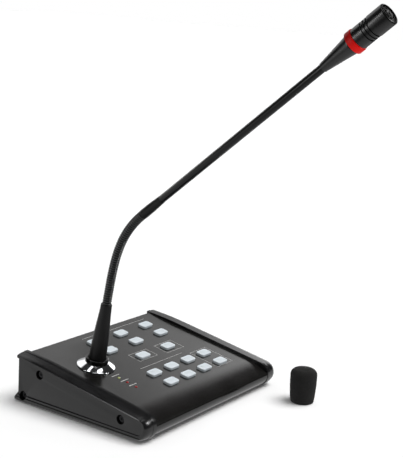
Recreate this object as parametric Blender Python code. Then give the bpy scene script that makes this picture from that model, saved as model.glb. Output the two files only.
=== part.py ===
"""Desk paging microphone: a wedge-shaped control base with sixteen keys, a
gooseneck microphone with a lit ring, and a loose foam windscreen.

Lengths are in metres and angles in radians. X runs to the right, Y to the rear
and Z up. The base frame has its zero at the middle of the rear face, on the table.
"""
import math

import bmesh
import bpy
from mathutils import Matrix, Vector
from mathutils.geometry import interpolate_bezier

# Fits shared by every piece
SEAT_GAP = 0.0003
CUT_OVERRUN = 0.002
MERGE_DISTANCE = 0.000001
SMOOTH_ANGLE = math.radians(35)
ROUND_SIDES = 20
SCREW_SIDES = 10

# Control base
CASE_WIDTH = 0.1716
CASE_DEPTH = 0.138
PANEL_ANGLE = math.radians(9.2)
COVER_SHEET = 0.0015
ROLL_RADIUS = 0.0092
ROLL_FLOOR_GAP = 0.00275
ROLL_STEPS = 12
COVER_LIP = 0.016
REAR_FOLD_DROP = 0.009
REAR_BEND_INNER_RADIUS = 0.0005
REAR_BEND_STEPS = 3
TRAY_SHEET = 0.0012
TRAY_SETBACK = 0.004

# Side cheeks
CHEEK_THICKNESS = 0.0142
CHEEK_FLOOR_GAP = 0.0004
NOSE_PROUD = 0.0004
RIM_PROUD = 0.0024
BEAD_WIDTH = 0.0046
BEAD_BEVEL = 0.0003
CROWN_DROP = 0.0004
CROWN_FALL = 0.0026
CROWN_STEPS = 5
RIM_OVERHANG = 0.0015
RIM_END_HEIGHT = 0.0062
RIM_END_RUN = 0.04
RIM_END_DROP = 0.002
RIM_END_STEPS = 5
FOOT_FLARE = 0.003
FLARE_LAND_HEIGHT = 0.0042
FLARE_HEIGHT = 0.0088
FOOT_FALL_SHARE = 0.3
NOSE_STEPS = 10
RIM_LAND = 0.0006
LEDGE_WIDTH = 0.0023
LEDGE_DEPTH = 0.0007
RECESS_DEPTH = 0.0016
RECESS_CORNER_RADIUS = 0.0045
RECESS_CORNER_STEPS = 4

# Cheek screws: places along the case and up the panel's height at that place
CHEEK_SCREW_DEPTH_SHARES = (0.0457, 0.1837, 0.8567)
CHEEK_SCREW_HEIGHT_SHARES = (0.148, 0.767, 0.615)
COUNTERBORE_RADIUS = 0.0042
COUNTERBORE_DEPTH = 0.0042
M3_RADIUS = 0.0015
M3_CLEARANCE = 0.0003
M3_HEAD_RADIUS = 0.003
M3_HEAD_HEIGHT = 0.002
M3_SOCKET_RADIUS = 0.0013
M3_SOCKET_DEPTH = 0.0012
NUT_RADIUS = 0.003
NUT_HEIGHT = 0.0022

# Two countersunk screws through the rear fold; the front lip hooks under the tray
COVER_SCREW_LENGTH = 0.0045
COVER_SCREW_SINK_DEPTH = 0.0012
COVER_SCREW_SPREAD_SHARE = 0.4
FOLD_SCREW_DROP = 0.0058

# Feet
FOOT_WIDTH = 0.01
FOOT_CORNER_RADIUS = 0.0035
FOOT_CORNER_STEPS = 3
FOOT_EDGE = 0.0005
FOOT_INSET = 0.012
FOOT_REAR_INSET = 0.012
FOOT_FRONT_INSET = 0.0095

# Keys, placed on the panel: distances run down the slope from the rear edge
KEY_WIDTH = 0.0145
KEY_LENGTH = 0.0093
KEY_CORNER_RADIUS = 0.0024
KEY_PROUD = 0.0021
KEY_CHAMFER = 0.0006
KEY_CLEARANCE = 0.0004
KEY_FLANGE = 0.0008
KEY_FLANGE_HEIGHT = 0.001
KEY_CORNER_STEPS = 2
STEM_SIDE = 0.0032
STEM_CORNER_RADIUS = 0.001
STEM_CLEARANCE = 0.0003
STEM_ENGAGEMENT = 0.0012
KEYS_OFFSET = 0.0175
FIRST_ROW = 0.0208
KEY_ROW_PITCH = 0.0194
CALL_ROW_STEP = 0.024
FRONT_ROW_STEP = 0.0293
REAR_COLUMN_PITCH = 0.0381
REAR_COLUMN_COUNT = 3
FRONT_COLUMN_PITCH = 0.0254
FRONT_COLUMN_COUNT = 4
GROUP_ROW_COUNT = 2

# Status lamps
LAMP_OFFSET = 0.0555
LAMP_FIRST = 0.0812
LAMP_PITCH = 0.00985
LAMP_RADIUS = 0.0015
LAMP_CLEARANCE = 0.0002
LAMP_PROUD = 0.0008
LAMP_BODY_LENGTH = 0.0052
LAMP_FLANGE = 0.0004
LAMP_FLANGE_HEIGHT = 0.001
LAMP_LEG_SIDE = 0.0005
LAMP_LEG_SPACING = 0.00127
LAMP_SIDES = 12
LAMP_DOME_STEPS = 3

# Key board under the panel, its silicone key mat and the cover's studs
BOARD_DROP = 0.0085
BOARD_THICKNESS = 0.0016
BOARD_SIDE_GAP = 0.0083
BOARD_START = 0.006
BOARD_END = 0.127
BOARD_NECK_HOLE_RADIUS = 0.0145
MAT_THICKNESS = 0.001
MAT_MARGIN = 0.004
DOME_SIDE = 0.008
DOME_HEIGHT = 0.004
DOME_CORNER_RADIUS = 0.001
DOME_WELL_FLOOR = 0.0012
DOME_CORNER_STEPS = 1
STUD_RADIUS = 0.0028
STUD_SIDES = 8
STUD_EDGE_INSET = 0.006
PEG_RADIUS = 0.0013
PEG_LENGTH = 0.003
PEG_CLEARANCE = 0.0003
BOARD_SCREW_LENGTH = 0.0055
SCREW_BORE_MARGIN = 0.001
CHIP_SIDE = 0.012
CHIP_HEIGHT = 0.0016
CHIP_SPACING = 0.017
CHIP_START = 0.092
CHIP_OFFSET = 0.036

# Rear connectors and their board
LINK_BOARD_SIDE_GAP = 0.0083
LINK_BOARD_DEPTH = 0.046
LINK_BOARD_RISE = 0.0035
LINK_BOARD_OFFSET = 0.024
POST_RADIUS = 0.003
POST_SIDES = 8
JACK_WIDTH = 0.03
JACK_HEIGHT = 0.0135
JACK_DEPTH = 0.021
JACK_PROUD = 0.0008
JACK_OFFSET = 0.04
JACK_PITCH = 0.0145
JACK_WELL_WIDTH = 0.0118
JACK_WELL_HEIGHT = 0.0068
JACK_WELL_DEPTH = 0.013
JACK_WELL_RISE = 0.0045
JACK_LATCH_WIDTH = 0.0062
JACK_LATCH_DROP = 0.0022
WINDOW_CLEARANCE = 0.0004
CAPACITOR_RADIUS = 0.004
CAPACITOR_HEIGHT = 0.0095
CAPACITOR_SPACING = 0.0105
CAPACITOR_OFFSET = 0.008
CAPACITOR_START = 0.012
RIBBON_WIDTH = 0.02
RIBBON_THICKNESS = 0.001
RIBBON_OFFSET = 0.034
RIBBON_PLUG_DEPTH = 0.006
RIBBON_PLUG_HEIGHT = 0.005
RIBBON_LINK_INSET = 0.005
RIBBON_BOARD_START = 0.082
RIBBON_SAG_HEIGHT = 0.007
RIBBON_RISE_PULL = 0.0112
RIBBON_SAG_PULL = 0.01
RIBBON_ENTRY_PULL = 0.006
RIBBON_STEPS = 9

# Neck seat on the panel
NECK_OFFSET = 0.0555
NECK_START = 0.0538
FLANGE_FOOT_RADIUS = 0.0172
FLANGE_FOOT_HEIGHT = 0.0008
FLANGE_RADIUS = 0.0166
FLANGE_EDGE = 0.0006
FLANGE_HEIGHT = 0.0043
FLANGE_LAND_RADIUS = 0.0102
FLANGE_CROWN_STEPS = 4
SOCKET_RADIUS = 0.006
SOCKET_BORE_RADIUS = 0.0024
SOCKET_RISE = 0.0085
SOCKET_DROP = 0.0125
LOCK_NUT_FLATS = 0.017
LOCK_NUT_HEIGHT = 0.004
LOCK_NUT_SIDES = 24
BOOT_RING_RADIUS = 0.0104
BOOT_RING_WALL = 0.0022
BOOT_RING_HEIGHT = 0.0036
BOOT_RING_FLOOR = 0.0012
BOOT_RING_ROUND = 0.0009
BOOT_TOP = 0.0602
BOOT_RADIUS = 0.0077
BOOT_LIP = 0.0006
BOOT_TOP_RADIUS = 0.005
BOOT_HEIGHT_SHARES = (0.38, 0.6, 0.82, 0.93)
BOOT_TAPER_SHARES = (0.06, 0.28, 0.62, 0.9)

# Gooseneck: a ribbed flexible tube, a coupling and a stiff upper tube
FLEX_RADIUS = 0.0041
RIB_DEPTH = 0.0004
RIB_PITCH = 0.0021
FLEX_BORE_RADIUS = 0.0023
FLEX_SIDES = 8
FLEX_BORE_STEP = 0.006
FLEX_FORWARD = 0.0456
FLEX_RISE = 0.1455
FLEX_START_PULL = 0.0404
FLEX_END_PULL = 0.0343
CURVE_SAMPLES = 160
ARM_ELEVATION = math.radians(40.3)
COUPLING_RADIUS = 0.00415
COUPLING_LENGTH = 0.0245
COUPLING_PARALLEL = 0.0105
COUPLING_END_RADIUS = 0.0035
COUPLING_EDGE = 0.0004
SPIGOT_LENGTH = 0.005
SPIGOT_WALL = 0.0005
TUBE_RADIUS = 0.00335
TUBE_BORE_RADIUS = 0.0026
TUBE_VISIBLE_LENGTH = 0.1866
TUBE_SOCKET = 0.008

# Microphone head
CONE_LENGTH = 0.0295
CONE_START_RADIUS = 0.0038
CONE_END_RADIUS = 0.00775
CONE_WALL = 0.0012
CONE_MIDDLE_SHARE = 0.55
CONE_SWELL_SHARE = 0.06
CONE_EDGE = 0.0004
SLEEVE_DEPTH = 0.005
LIGHT_RING_RADIUS = 0.0092
LIGHT_RING_LENGTH = 0.0059
LIGHT_RING_WALL = 0.0012
LIGHT_RING_EDGE = 0.0005
RING_LAMP_COUNT = 4
RING_LAMP_LENGTH = 0.003
RING_LAMP_WIDTH = 0.002
RING_BOARD_THICKNESS = 0.0004
HEAD_RADIUS = 0.00885
HEAD_NECK_RADIUS = 0.0086
HEAD_LENGTH = 0.0299
HEAD_WALL = 0.0012
HEAD_EDGE = 0.0013
HEAD_FACE_RECESS = 0.0009
GROOVE_START = 0.0083
GROOVE_WIDTH = 0.0014
GROOVE_DEPTH = 0.0009
GROOVE_COUNT = 3
GRILLE_THICKNESS = 0.0012
GRILLE_CROWN = 0.0006
GRILLE_SLOT_COUNT = 6
GRILLE_SLOT_INNER_RADIUS = 0.0036
GRILLE_SLOT_WIDTH = 0.0012
GRILLE_SLOT_SPAN_SHARE = 0.66
GRILLE_CENTRE_RADIUS = 0.0011
GRILLE_SLOT_STEPS = 3
CAPSULE_RADIUS = 0.00485
CAPSULE_LENGTH = 0.0058
CAPSULE_FACE_RADIUS = 0.0024
CAPSULE_FACE_DEPTH = 0.0004
CAPSULE_SETBACK = 0.0016
MOUNT_LENGTH = 0.0075
MOUNT_FLOOR = 0.0012
MOUNT_LEAD_RADIUS = 0.0018

# Microphone lead, held inside the neck all the way
LEAD_RADIUS = 0.0011
LEAD_SIDES = 8
LEAD_STEP = 0.006
LEAD_REACH = 0.0215
LEAD_BEND_PULL = 0.0105
LEAD_BEND_STEPS = 12
LEAD_SOCKET_TAIL = 0.0015

# Windscreen, standing on its open end beside the base
SCREEN_RADIUS = 0.0118
SCREEN_MOUTH_RADIUS = 0.011
SCREEN_HEIGHT = 0.0318
SCREEN_DOME_RISE = 0.0009
SCREEN_CROWN_RADIUS = 0.0055
SCREEN_CROWN_STEPS = 6
SCREEN_BORE_RADIUS = 0.0079
SCREEN_BORE_DEPTH = 0.0245
SCREEN_BORE_ROUND = 0.003
SCREEN_MOUTH_ROUND = 0.0012
SCREEN_WIDEST_SHARE = 0.72
SCREEN_INSET_X = 0.0058
SCREEN_FORWARD = 0.0422

# Finishes: linear colour, roughness, metallic
FINISHES = {
    "textured paint": ((0.115, 0.110, 0.105), 0.55, 0.0),
    "moulded black": ((0.035, 0.034, 0.034), 0.48, 0.0),
    "black steel": ((0.02, 0.02, 0.02), 0.4, 0.6),
    "zinc steel": ((0.55, 0.55, 0.53), 0.35, 1.0),
    "black rubber": ((0.022, 0.022, 0.022), 0.75, 0.0),
    "key plastic": ((0.72, 0.78, 0.83), 0.45, 0.0),
    "green lamp": ((0.45, 0.55, 0.12), 0.2, 0.0),
    "red lamp": ((0.5, 0.02, 0.02), 0.2, 0.0),
    "circuit board": ((0.02, 0.12, 0.05), 0.5, 0.0),
    "black plastic": ((0.015, 0.015, 0.016), 0.4, 0.0),
    "white plastic": ((0.75, 0.74, 0.7), 0.45, 0.0),
    "grey cable": ((0.25, 0.25, 0.26), 0.55, 0.0),
    "chrome": ((0.85, 0.86, 0.88), 0.08, 1.0),
    "brass": ((0.75, 0.55, 0.25), 0.3, 1.0),
    "satin black metal": ((0.018, 0.018, 0.019), 0.35, 0.7),
    "red light ring": ((0.6, 0.015, 0.015), 0.25, 0.0),
    "foam": ((0.014, 0.013, 0.012), 0.95, 0.0),
}

# Sizes that follow from the ones above
HALF_CASE = CASE_WIDTH / 2
PANEL_SLOPE = math.tan(PANEL_ANGLE)
COVER_CENTRE_Z = ROLL_FLOOR_GAP + ROLL_RADIUS
PANEL_REAR_HEIGHT = COVER_CENTRE_Z + ROLL_RADIUS / math.cos(PANEL_ANGLE) + CASE_DEPTH * PANEL_SLOPE
PANEL_NORMAL_ANGLE = math.pi / 2 + PANEL_ANGLE
TRAY_REAR = -(COVER_SHEET + SEAT_GAP)
TRAY_UNDERSIDE = ROLL_FLOOR_GAP + COVER_SHEET + SEAT_GAP
TRAY_FLOOR = TRAY_UNDERSIDE + TRAY_SHEET
TRAY_INNER_REAR = TRAY_REAR - TRAY_SHEET
TRAY_HALF = HALF_CASE - SEAT_GAP
TRAY_INNER_HALF = TRAY_HALF - TRAY_SHEET
BOARD_WIDTH = 2 * (TRAY_INNER_HALF - BOARD_SIDE_GAP)
BOARD_TOP = -(COVER_SHEET + BOARD_DROP)
BOARD_UNDERSIDE = BOARD_TOP - BOARD_THICKNESS
LINK_BOARD_WIDTH = 2 * (TRAY_INNER_HALF - LINK_BOARD_OFFSET - LINK_BOARD_SIDE_GAP)
LINK_BOARD_UNDERSIDE = TRAY_FLOOR + LINK_BOARD_RISE
LINK_BOARD_TOP = LINK_BOARD_UNDERSIDE + BOARD_THICKNESS
LINK_BOARD_REAR = TRAY_INNER_REAR - SEAT_GAP
LINK_BOARD_FRONT = LINK_BOARD_REAR - LINK_BOARD_DEPTH
FRONT_ROW = FIRST_ROW + KEY_ROW_PITCH + CALL_ROW_STEP + FRONT_ROW_STEP
LIGHT_RING_START = COUPLING_LENGTH + TUBE_VISIBLE_LENGTH + CONE_LENGTH
HEAD_START = LIGHT_RING_START + LIGHT_RING_LENGTH
SLEEVE_RADIUS = CONE_END_RADIUS - CONE_WALL - SEAT_GAP
SCREEN_X = HALF_CASE - SCREEN_INSET_X
SCREEN_Y = -(CASE_DEPTH + ROLL_RADIUS + SCREEN_FORWARD)


def panel_height(y):
    """Height of the panel's top face at y, in the base frame."""
    return PANEL_REAR_HEIGHT + y * PANEL_SLOPE


def panel_point(x, start, rise=0.0):
    """A point in the base frame, start down the slope from the rear edge and rise above the panel."""
    y = -start * math.cos(PANEL_ANGLE) - rise * math.sin(PANEL_ANGLE)
    z = PANEL_REAR_HEIGHT - start * math.sin(PANEL_ANGLE) + rise * math.cos(PANEL_ANGLE)
    return Vector((x, y, z))


def clear_scene():
    for thing in list(bpy.data.objects):
        bpy.data.objects.remove(thing, do_unlink=True)


def empty(name, parent=None, location=(0.0, 0.0, 0.0), tilt=0.0):
    """A frame that pieces hang from, turned by tilt about X."""
    frame = bpy.data.objects.new(name, None)
    frame.location = location
    frame.rotation_euler = (tilt, 0.0, 0.0)
    frame.parent = parent
    bpy.context.scene.collection.objects.link(frame)
    return frame


def material(name, finish):
    color, roughness, metallic = FINISHES[finish]
    made = bpy.data.materials.new(name)
    made.use_nodes = True
    shader = made.node_tree.nodes["Principled BSDF"]
    shader.inputs["Base Color"].default_value = (*color, 1.0)
    shader.inputs["Roughness"].default_value = roughness
    shader.inputs["Metallic"].default_value = metallic
    return made


def piece(name, shape, finish, parent, location=(0.0, 0.0, 0.0)):
    """Turns a bmesh into one named object with a material of its own."""
    mesh = bpy.data.meshes.new(name)
    shape.to_mesh(mesh)
    shape.free()
    mesh.shade_smooth()
    mesh.set_sharp_from_angle(angle=SMOOTH_ANGLE)
    mesh.materials.append(material(name, finish))
    made = bpy.data.objects.new(name, mesh)
    made.location = location
    made.parent = parent
    bpy.context.scene.collection.objects.link(made)
    return made


def combine(target, shape, name, operation):
    """Works a shape, given in the target's own frame, into the target."""
    mesh = bpy.data.meshes.new(name)
    shape.to_mesh(mesh)
    shape.free()
    helper = bpy.data.objects.new(name, mesh)
    helper.location = target.location
    helper.parent = target.parent
    helper.hide_render = True
    helper.display_type = "WIRE"
    bpy.context.scene.collection.objects.link(helper)
    boolean = target.modifiers.new(name, "BOOLEAN")
    boolean.operation = operation
    boolean.solver = "EXACT"
    boolean.object = helper


def cut(target, shape, name):
    combine(target, shape, name, "DIFFERENCE")


def add(target, shape, name):
    combine(target, shape, name, "UNION")


def arc(centre, radius, start, end, steps):
    """Points on an arc, with both its ends."""
    return [
        (
            centre[0] + radius * math.cos(start + (end - start) * step / steps),
            centre[1] + radius * math.sin(start + (end - start) * step / steps),
        )
        for step in range(steps + 1)
    ]


def loft(loops, closed=False):
    """A solid whose skin runs through loops of points; a closed one joins its last loop to its first."""
    shape = bmesh.new()
    rings = [[shape.verts.new(point) for point in loop] for loop in loops]
    pairs = list(zip(rings, rings[1:]))
    if closed:
        pairs.append((rings[-1], rings[0]))
    else:
        shape.faces.new(rings[0])
        shape.faces.new(rings[-1])
    for lower, upper in pairs:
        for index in range(len(lower)):
            follower = (index + 1) % len(lower)
            shape.faces.new((lower[index], lower[follower], upper[follower], upper[index]))
    bmesh.ops.recalc_face_normals(shape, faces=shape.faces)
    return shape


def prism(outline, start, end):
    """A solid with an outline of (y, z) points that runs from x = start to x = end."""
    return loft([[(x, y, z) for y, z in outline] for x in (start, end)])


def block(size, centre):
    shape = bmesh.new()
    placing = Matrix.Translation(centre) @ Matrix.Diagonal((*size, 1.0))
    bmesh.ops.create_cube(shape, size=1.0, matrix=placing)
    return shape


def turned(profile, sides=ROUND_SIDES):
    """Spins (radius, height) points about Z; a profile that starts off the axis is closed on itself."""
    shape = bmesh.new()
    points = [shape.verts.new((radius, 0.0, height)) for radius, height in profile]
    edges = [shape.edges.new(pair) for pair in zip(points, points[1:])]
    if profile[0][0] > 0.0:
        edges.append(shape.edges.new((points[-1], points[0])))
    bmesh.ops.spin(
        shape,
        geom=points + edges,
        cent=(0.0, 0.0, 0.0),
        axis=(0.0, 0.0, 1.0),
        angle=math.tau,
        steps=sides,
        use_merge=True,
        use_duplicate=False,
    )
    bmesh.ops.remove_doubles(shape, verts=shape.verts, dist=MERGE_DISTANCE)
    bmesh.ops.recalc_face_normals(shape, faces=shape.faces)
    return shape


def rod(radius, bottom, top, sides=ROUND_SIDES):
    return turned([(0.0, bottom), (radius, bottom), (radius, top), (0.0, top)], sides)


def moved(shape, placing):
    bmesh.ops.transform(shape, matrix=placing, verts=shape.verts)
    return shape


def joined(shapes):
    """Several separate solids in one bmesh."""
    whole = bmesh.new()
    carrier = bpy.data.meshes.new("carrier")
    for shape in shapes:
        shape.to_mesh(carrier)
        shape.free()
        whole.from_mesh(carrier)
    bpy.data.meshes.remove(carrier)
    return whole


def rounded_rectangle(width, length, radius, height, corner_steps):
    """A loop round the Z axis with the same number of points whatever its size."""
    loop = []
    for quarter, (side_x, side_y) in enumerate(((1, 1), (-1, 1), (-1, -1), (1, -1))):
        centre = (side_x * (width / 2 - radius), side_y * (length / 2 - radius))
        start = quarter * math.pi / 2
        corner = arc(centre, radius, start, start + math.pi / 2, corner_steps)
        loop += [(x, y, height) for x, y in corner]
    return loop


def along(axis_turn, x, y, z):
    """Places a shape that was made along Z at a point, with its axis turned."""
    return Matrix.Translation((x, y, z)) @ axis_turn


FACING_RIGHT = Matrix.Rotation(math.pi / 2, 4, "Y")
FACING_LEFT = Matrix.Rotation(-math.pi / 2, 4, "Y")
FACING_REAR = Matrix.Rotation(-math.pi / 2, 4, "X")


def cap_screw(length, sides=SCREW_SIDES):
    """A screw whose head rests on z = 0, with a hexagon socket and its shank along -Z."""
    return turned(
        [
            (0.0, -length),
            (M3_RADIUS, -length),
            (M3_RADIUS, 0.0),
            (M3_HEAD_RADIUS, 0.0),
            (M3_HEAD_RADIUS, M3_HEAD_HEIGHT),
            (M3_SOCKET_RADIUS, M3_HEAD_HEIGHT),
            (M3_SOCKET_RADIUS, M3_HEAD_HEIGHT - M3_SOCKET_DEPTH),
            (0.0, M3_HEAD_HEIGHT - M3_SOCKET_DEPTH),
        ],
        sides,
    )


def sunk_screw(length, sides=SCREW_SIDES):
    """A countersunk screw whose flat head ends at z = 0, with its shank along -Z."""
    return turned(
        [
            (0.0, -length),
            (M3_RADIUS, -length),
            (M3_RADIUS, -COVER_SCREW_SINK_DEPTH),
            (M3_HEAD_RADIUS - M3_CLEARANCE, 0.0),
            (M3_SOCKET_RADIUS, 0.0),
            (M3_SOCKET_RADIUS, -COVER_SCREW_SINK_DEPTH / 2),
            (0.0, -COVER_SCREW_SINK_DEPTH / 2),
        ],
        sides,
    )


def sunk_hole(depth, sides=SCREW_SIDES):
    """The cutter for a countersunk hole whose mouth is at z = 0."""
    mouth = M3_HEAD_RADIUS
    throat = M3_RADIUS + M3_CLEARANCE
    return turned(
        [
            (0.0, -depth),
            (throat, -depth),
            (throat, -COVER_SCREW_SINK_DEPTH),
            (mouth, 0.0),
            (mouth, CUT_OVERRUN),
            (0.0, CUT_OVERRUN),
        ],
        sides,
    )


# Cover, tray and cheeks

def cover_line(inset):
    """One side of the cover's sheet: rear fold, panel, roll and the lip under it."""
    bend = REAR_BEND_INNER_RADIUS + COVER_SHEET
    bend_centre = (-bend, panel_height(-bend) - bend / math.cos(PANEL_ANGLE))
    line = [(-inset, PANEL_REAR_HEIGHT - REAR_FOLD_DROP)]
    line += arc(bend_centre, bend - inset, 0.0, PANEL_NORMAL_ANGLE, REAR_BEND_STEPS)
    roll_centre = (-CASE_DEPTH, COVER_CENTRE_Z)
    line += arc(roll_centre, ROLL_RADIUS - inset, PANEL_NORMAL_ANGLE, math.pi * 3 / 2, ROLL_STEPS)
    line.append((COVER_LIP - CASE_DEPTH, ROLL_FLOOR_GAP + inset))
    return line


def cover_screw_places():
    """Matrices, in the base frame, of the screws through the rear fold."""
    height = PANEL_REAR_HEIGHT - FOLD_SCREW_DROP
    spread = COVER_SCREW_SPREAD_SHARE * CASE_WIDTH
    return [along(FACING_REAR, side * spread, 0.0, height) for side in (-1, 1)]


def stud_places():
    """(x, start) of the cover's studs: first the two with pegs, then the two with screws."""
    across = BOARD_WIDTH / 2 - STUD_EDGE_INSET
    rear = BOARD_START + STUD_EDGE_INSET
    front = BOARD_END - STUD_EDGE_INSET
    return [(-across, rear), (across, front)], [(across, rear), (-across, front)]


def key_group(name, columns, pitch, rows, start):
    """Names, x and distances down the slope of a block of keys, numbered row by row from the rear left."""
    places = []
    for row in range(rows):
        for column in range(columns):
            x = KEYS_OFFSET + (column - (columns - 1) / 2) * pitch
            places.append((f"{name}_{row * columns + column + 1}", x, start + row * KEY_ROW_PITCH))
    return places


def key_places():
    """Name, x and distance down the slope of each key."""
    call_row = FIRST_ROW + KEY_ROW_PITCH + CALL_ROW_STEP
    places = key_group("key_rear", REAR_COLUMN_COUNT, REAR_COLUMN_PITCH, GROUP_ROW_COUNT, FIRST_ROW)
    places += key_group("key_call", REAR_COLUMN_COUNT - 1, REAR_COLUMN_PITCH, 1, call_row)
    places += key_group("key_front", FRONT_COLUMN_COUNT, FRONT_COLUMN_PITCH, GROUP_ROW_COUNT, FRONT_ROW)
    return places


def lamp_places():
    return [(-LAMP_OFFSET, LAMP_FIRST + index * LAMP_PITCH) for index in range(3)]


def on_panel(x, start):
    return Matrix.Translation((x, -start, 0.0))


def make_cover(base, panel):
    outline = cover_line(0.0) + cover_line(COVER_SHEET)[::-1]
    cover = piece("top_cover", prism(outline, -TRAY_HALF, TRAY_HALF), "textured paint", base)

    stud_bottom = BOARD_TOP + SEAT_GAP
    stud_top = -COVER_SHEET / 2
    peg_bottom = stud_bottom - PEG_LENGTH
    peg_stud = [
        (0.0, peg_bottom),
        (PEG_RADIUS, peg_bottom),
        (PEG_RADIUS, stud_bottom),
        (STUD_RADIUS, stud_bottom),
        (STUD_RADIUS, stud_top),
        (0.0, stud_top),
    ]
    bore_top = stud_bottom + BOARD_SCREW_LENGTH - BOARD_THICKNESS + SCREW_BORE_MARGIN
    bore = M3_RADIUS + M3_CLEARANCE
    screw_stud = [
        (0.0, bore_top),
        (bore, bore_top),
        (bore, stud_bottom),
        (STUD_RADIUS, stud_bottom),
        (STUD_RADIUS, stud_top),
        (0.0, stud_top),
    ]
    studs = []
    for profile, places in zip((peg_stud, screw_stud), stud_places()):
        for x, start in places:
            studs.append(moved(turned(profile, STUD_SIDES), panel.matrix_basis @ on_panel(x, start)))
    add(cover, joined(studs), "cover_studs")

    def window(x, start):
        width = KEY_WIDTH + 2 * KEY_CLEARANCE
        length = KEY_LENGTH + 2 * KEY_CLEARANCE
        radius = KEY_CORNER_RADIUS + KEY_CLEARANCE
        loops = [
            rounded_rectangle(width, length, radius, height, KEY_CORNER_STEPS)
            for height in (-COVER_SHEET - CUT_OVERRUN, CUT_OVERRUN)
        ]
        return moved(loft(loops), on_panel(x, start))

    holes = [window(x, start) for name, x, start in key_places()]
    depth = -COVER_SHEET - CUT_OVERRUN
    for x, start in lamp_places():
        hole = rod(LAMP_RADIUS + LAMP_CLEARANCE, depth, CUT_OVERRUN, LAMP_SIDES)
        holes.append(moved(hole, on_panel(x, start)))
    neck_hole = rod(SOCKET_RADIUS + SEAT_GAP, depth, CUT_OVERRUN)
    holes.append(moved(neck_hole, on_panel(-NECK_OFFSET, NECK_START)))
    in_base = panel.matrix_basis
    holes = [moved(hole, in_base) for hole in holes]
    holes += [moved(sunk_hole(COVER_SHEET + CUT_OVERRUN), place) for place in cover_screw_places()]
    cut(cover, joined(holes), "cover_holes")


def tray_top(y):
    return panel_height(y) - (COVER_SHEET + SEAT_GAP) / math.cos(PANEL_ANGLE)


def cheek_screw_places():
    """(y, z) of the three screws on each side."""
    places = []
    for depth_share, height_share in zip(CHEEK_SCREW_DEPTH_SHARES, CHEEK_SCREW_HEIGHT_SHARES):
        y = -depth_share * CASE_DEPTH
        places.append((y, height_share * panel_height(y)))
    return places


def jack_centres():
    return [JACK_OFFSET + side * JACK_PITCH / 2 for side in (-1, 1)]


def link_post_places():
    """(x, y) of the tray's posts under the connector board."""
    across = LINK_BOARD_WIDTH / 2 - STUD_EDGE_INSET
    lines = (LINK_BOARD_FRONT + 2 * STUD_EDGE_INSET, LINK_BOARD_REAR - STUD_EDGE_INSET)
    return [(LINK_BOARD_OFFSET + side * across, y) for side in (-1, 1) for y in lines]


def make_tray(base):
    front = TRAY_SETBACK - CASE_DEPTH
    section = [
        (front, TRAY_UNDERSIDE),
        (TRAY_REAR, TRAY_UNDERSIDE),
        (TRAY_REAR, tray_top(TRAY_REAR)),
        (front, tray_top(front)),
    ]
    tray = piece("base_tray", prism(section, -TRAY_HALF, TRAY_HALF), "textured paint", base)
    hollow = [
        (front - CUT_OVERRUN, TRAY_FLOOR),
        (TRAY_INNER_REAR, TRAY_FLOOR),
        (TRAY_INNER_REAR, tray_top(TRAY_INNER_REAR) + CUT_OVERRUN),
        (front - CUT_OVERRUN, tray_top(front) + CUT_OVERRUN),
    ]
    cut(tray, prism(hollow, -TRAY_INNER_HALF, TRAY_INNER_HALF), "tray_hollow")

    bosses = []
    for y, z in cheek_screw_places():
        for side, facing in ((-1, FACING_LEFT), (1, FACING_RIGHT)):
            boss = rod(NUT_RADIUS, -NUT_HEIGHT, TRAY_SHEET / 2, SCREW_SIDES)
            bosses.append(moved(boss, along(facing, side * TRAY_INNER_HALF, y, z)))
    post_top = LINK_BOARD_UNDERSIDE - SEAT_GAP
    for x, y in link_post_places():
        post = turned(
            [
                (0.0, TRAY_FLOOR - TRAY_SHEET / 2),
                (POST_RADIUS, TRAY_FLOOR - TRAY_SHEET / 2),
                (POST_RADIUS, post_top),
                (PEG_RADIUS, post_top),
                (PEG_RADIUS, post_top + PEG_LENGTH),
                (0.0, post_top + PEG_LENGTH),
            ],
            POST_SIDES,
        )
        bosses.append(moved(post, Matrix.Translation((x, y, 0.0))))
    add(tray, joined(bosses), "tray_bosses")

    window_depth = TRAY_SHEET + 2 * CUT_OVERRUN
    size = (JACK_WIDTH + 2 * WINDOW_CLEARANCE, window_depth, JACK_HEIGHT + 2 * WINDOW_CLEARANCE)
    centre = (JACK_OFFSET, TRAY_REAR - TRAY_SHEET / 2, LINK_BOARD_TOP + SEAT_GAP + JACK_HEIGHT / 2)
    openings = [block(size, centre)]
    hole_radius = M3_RADIUS + M3_CLEARANCE
    for place in cover_screw_places():
        hole = rod(hole_radius, -COVER_SCREW_LENGTH - CUT_OVERRUN, CUT_OVERRUN, SCREW_SIDES)
        openings.append(moved(hole, place))
    for y, z in cheek_screw_places():
        for side, facing in ((-1, FACING_LEFT), (1, FACING_RIGHT)):
            hole = rod(hole_radius, -NUT_HEIGHT - CUT_OVERRUN, TRAY_SHEET + CUT_OVERRUN, SCREW_SIDES)
            openings.append(moved(hole, along(facing, side * TRAY_INNER_HALF, y, z)))
    cut(tray, joined(openings), "tray_openings")


def nose_circle():
    """Centre (y, z) and radius of the cheek's front, which touches floor line, rim line and front reach."""
    reach = CASE_DEPTH + ROLL_RADIUS + NOSE_PROUD
    rise = PANEL_REAR_HEIGHT - reach * PANEL_SLOPE + RIM_PROUD / math.cos(PANEL_ANGLE) - CHEEK_FLOOR_GAP
    radius = rise * math.cos(PANEL_ANGLE) / (1 + math.cos(PANEL_ANGLE) - math.sin(PANEL_ANGLE))
    return (radius - reach, CHEEK_FLOOR_GAP + radius), radius


def rim_height(y, inset):
    """Height of the cheek's upper edge at y, drawn in by inset."""
    return panel_height(y) + (RIM_PROUD - inset) / math.cos(PANEL_ANGLE)


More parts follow.
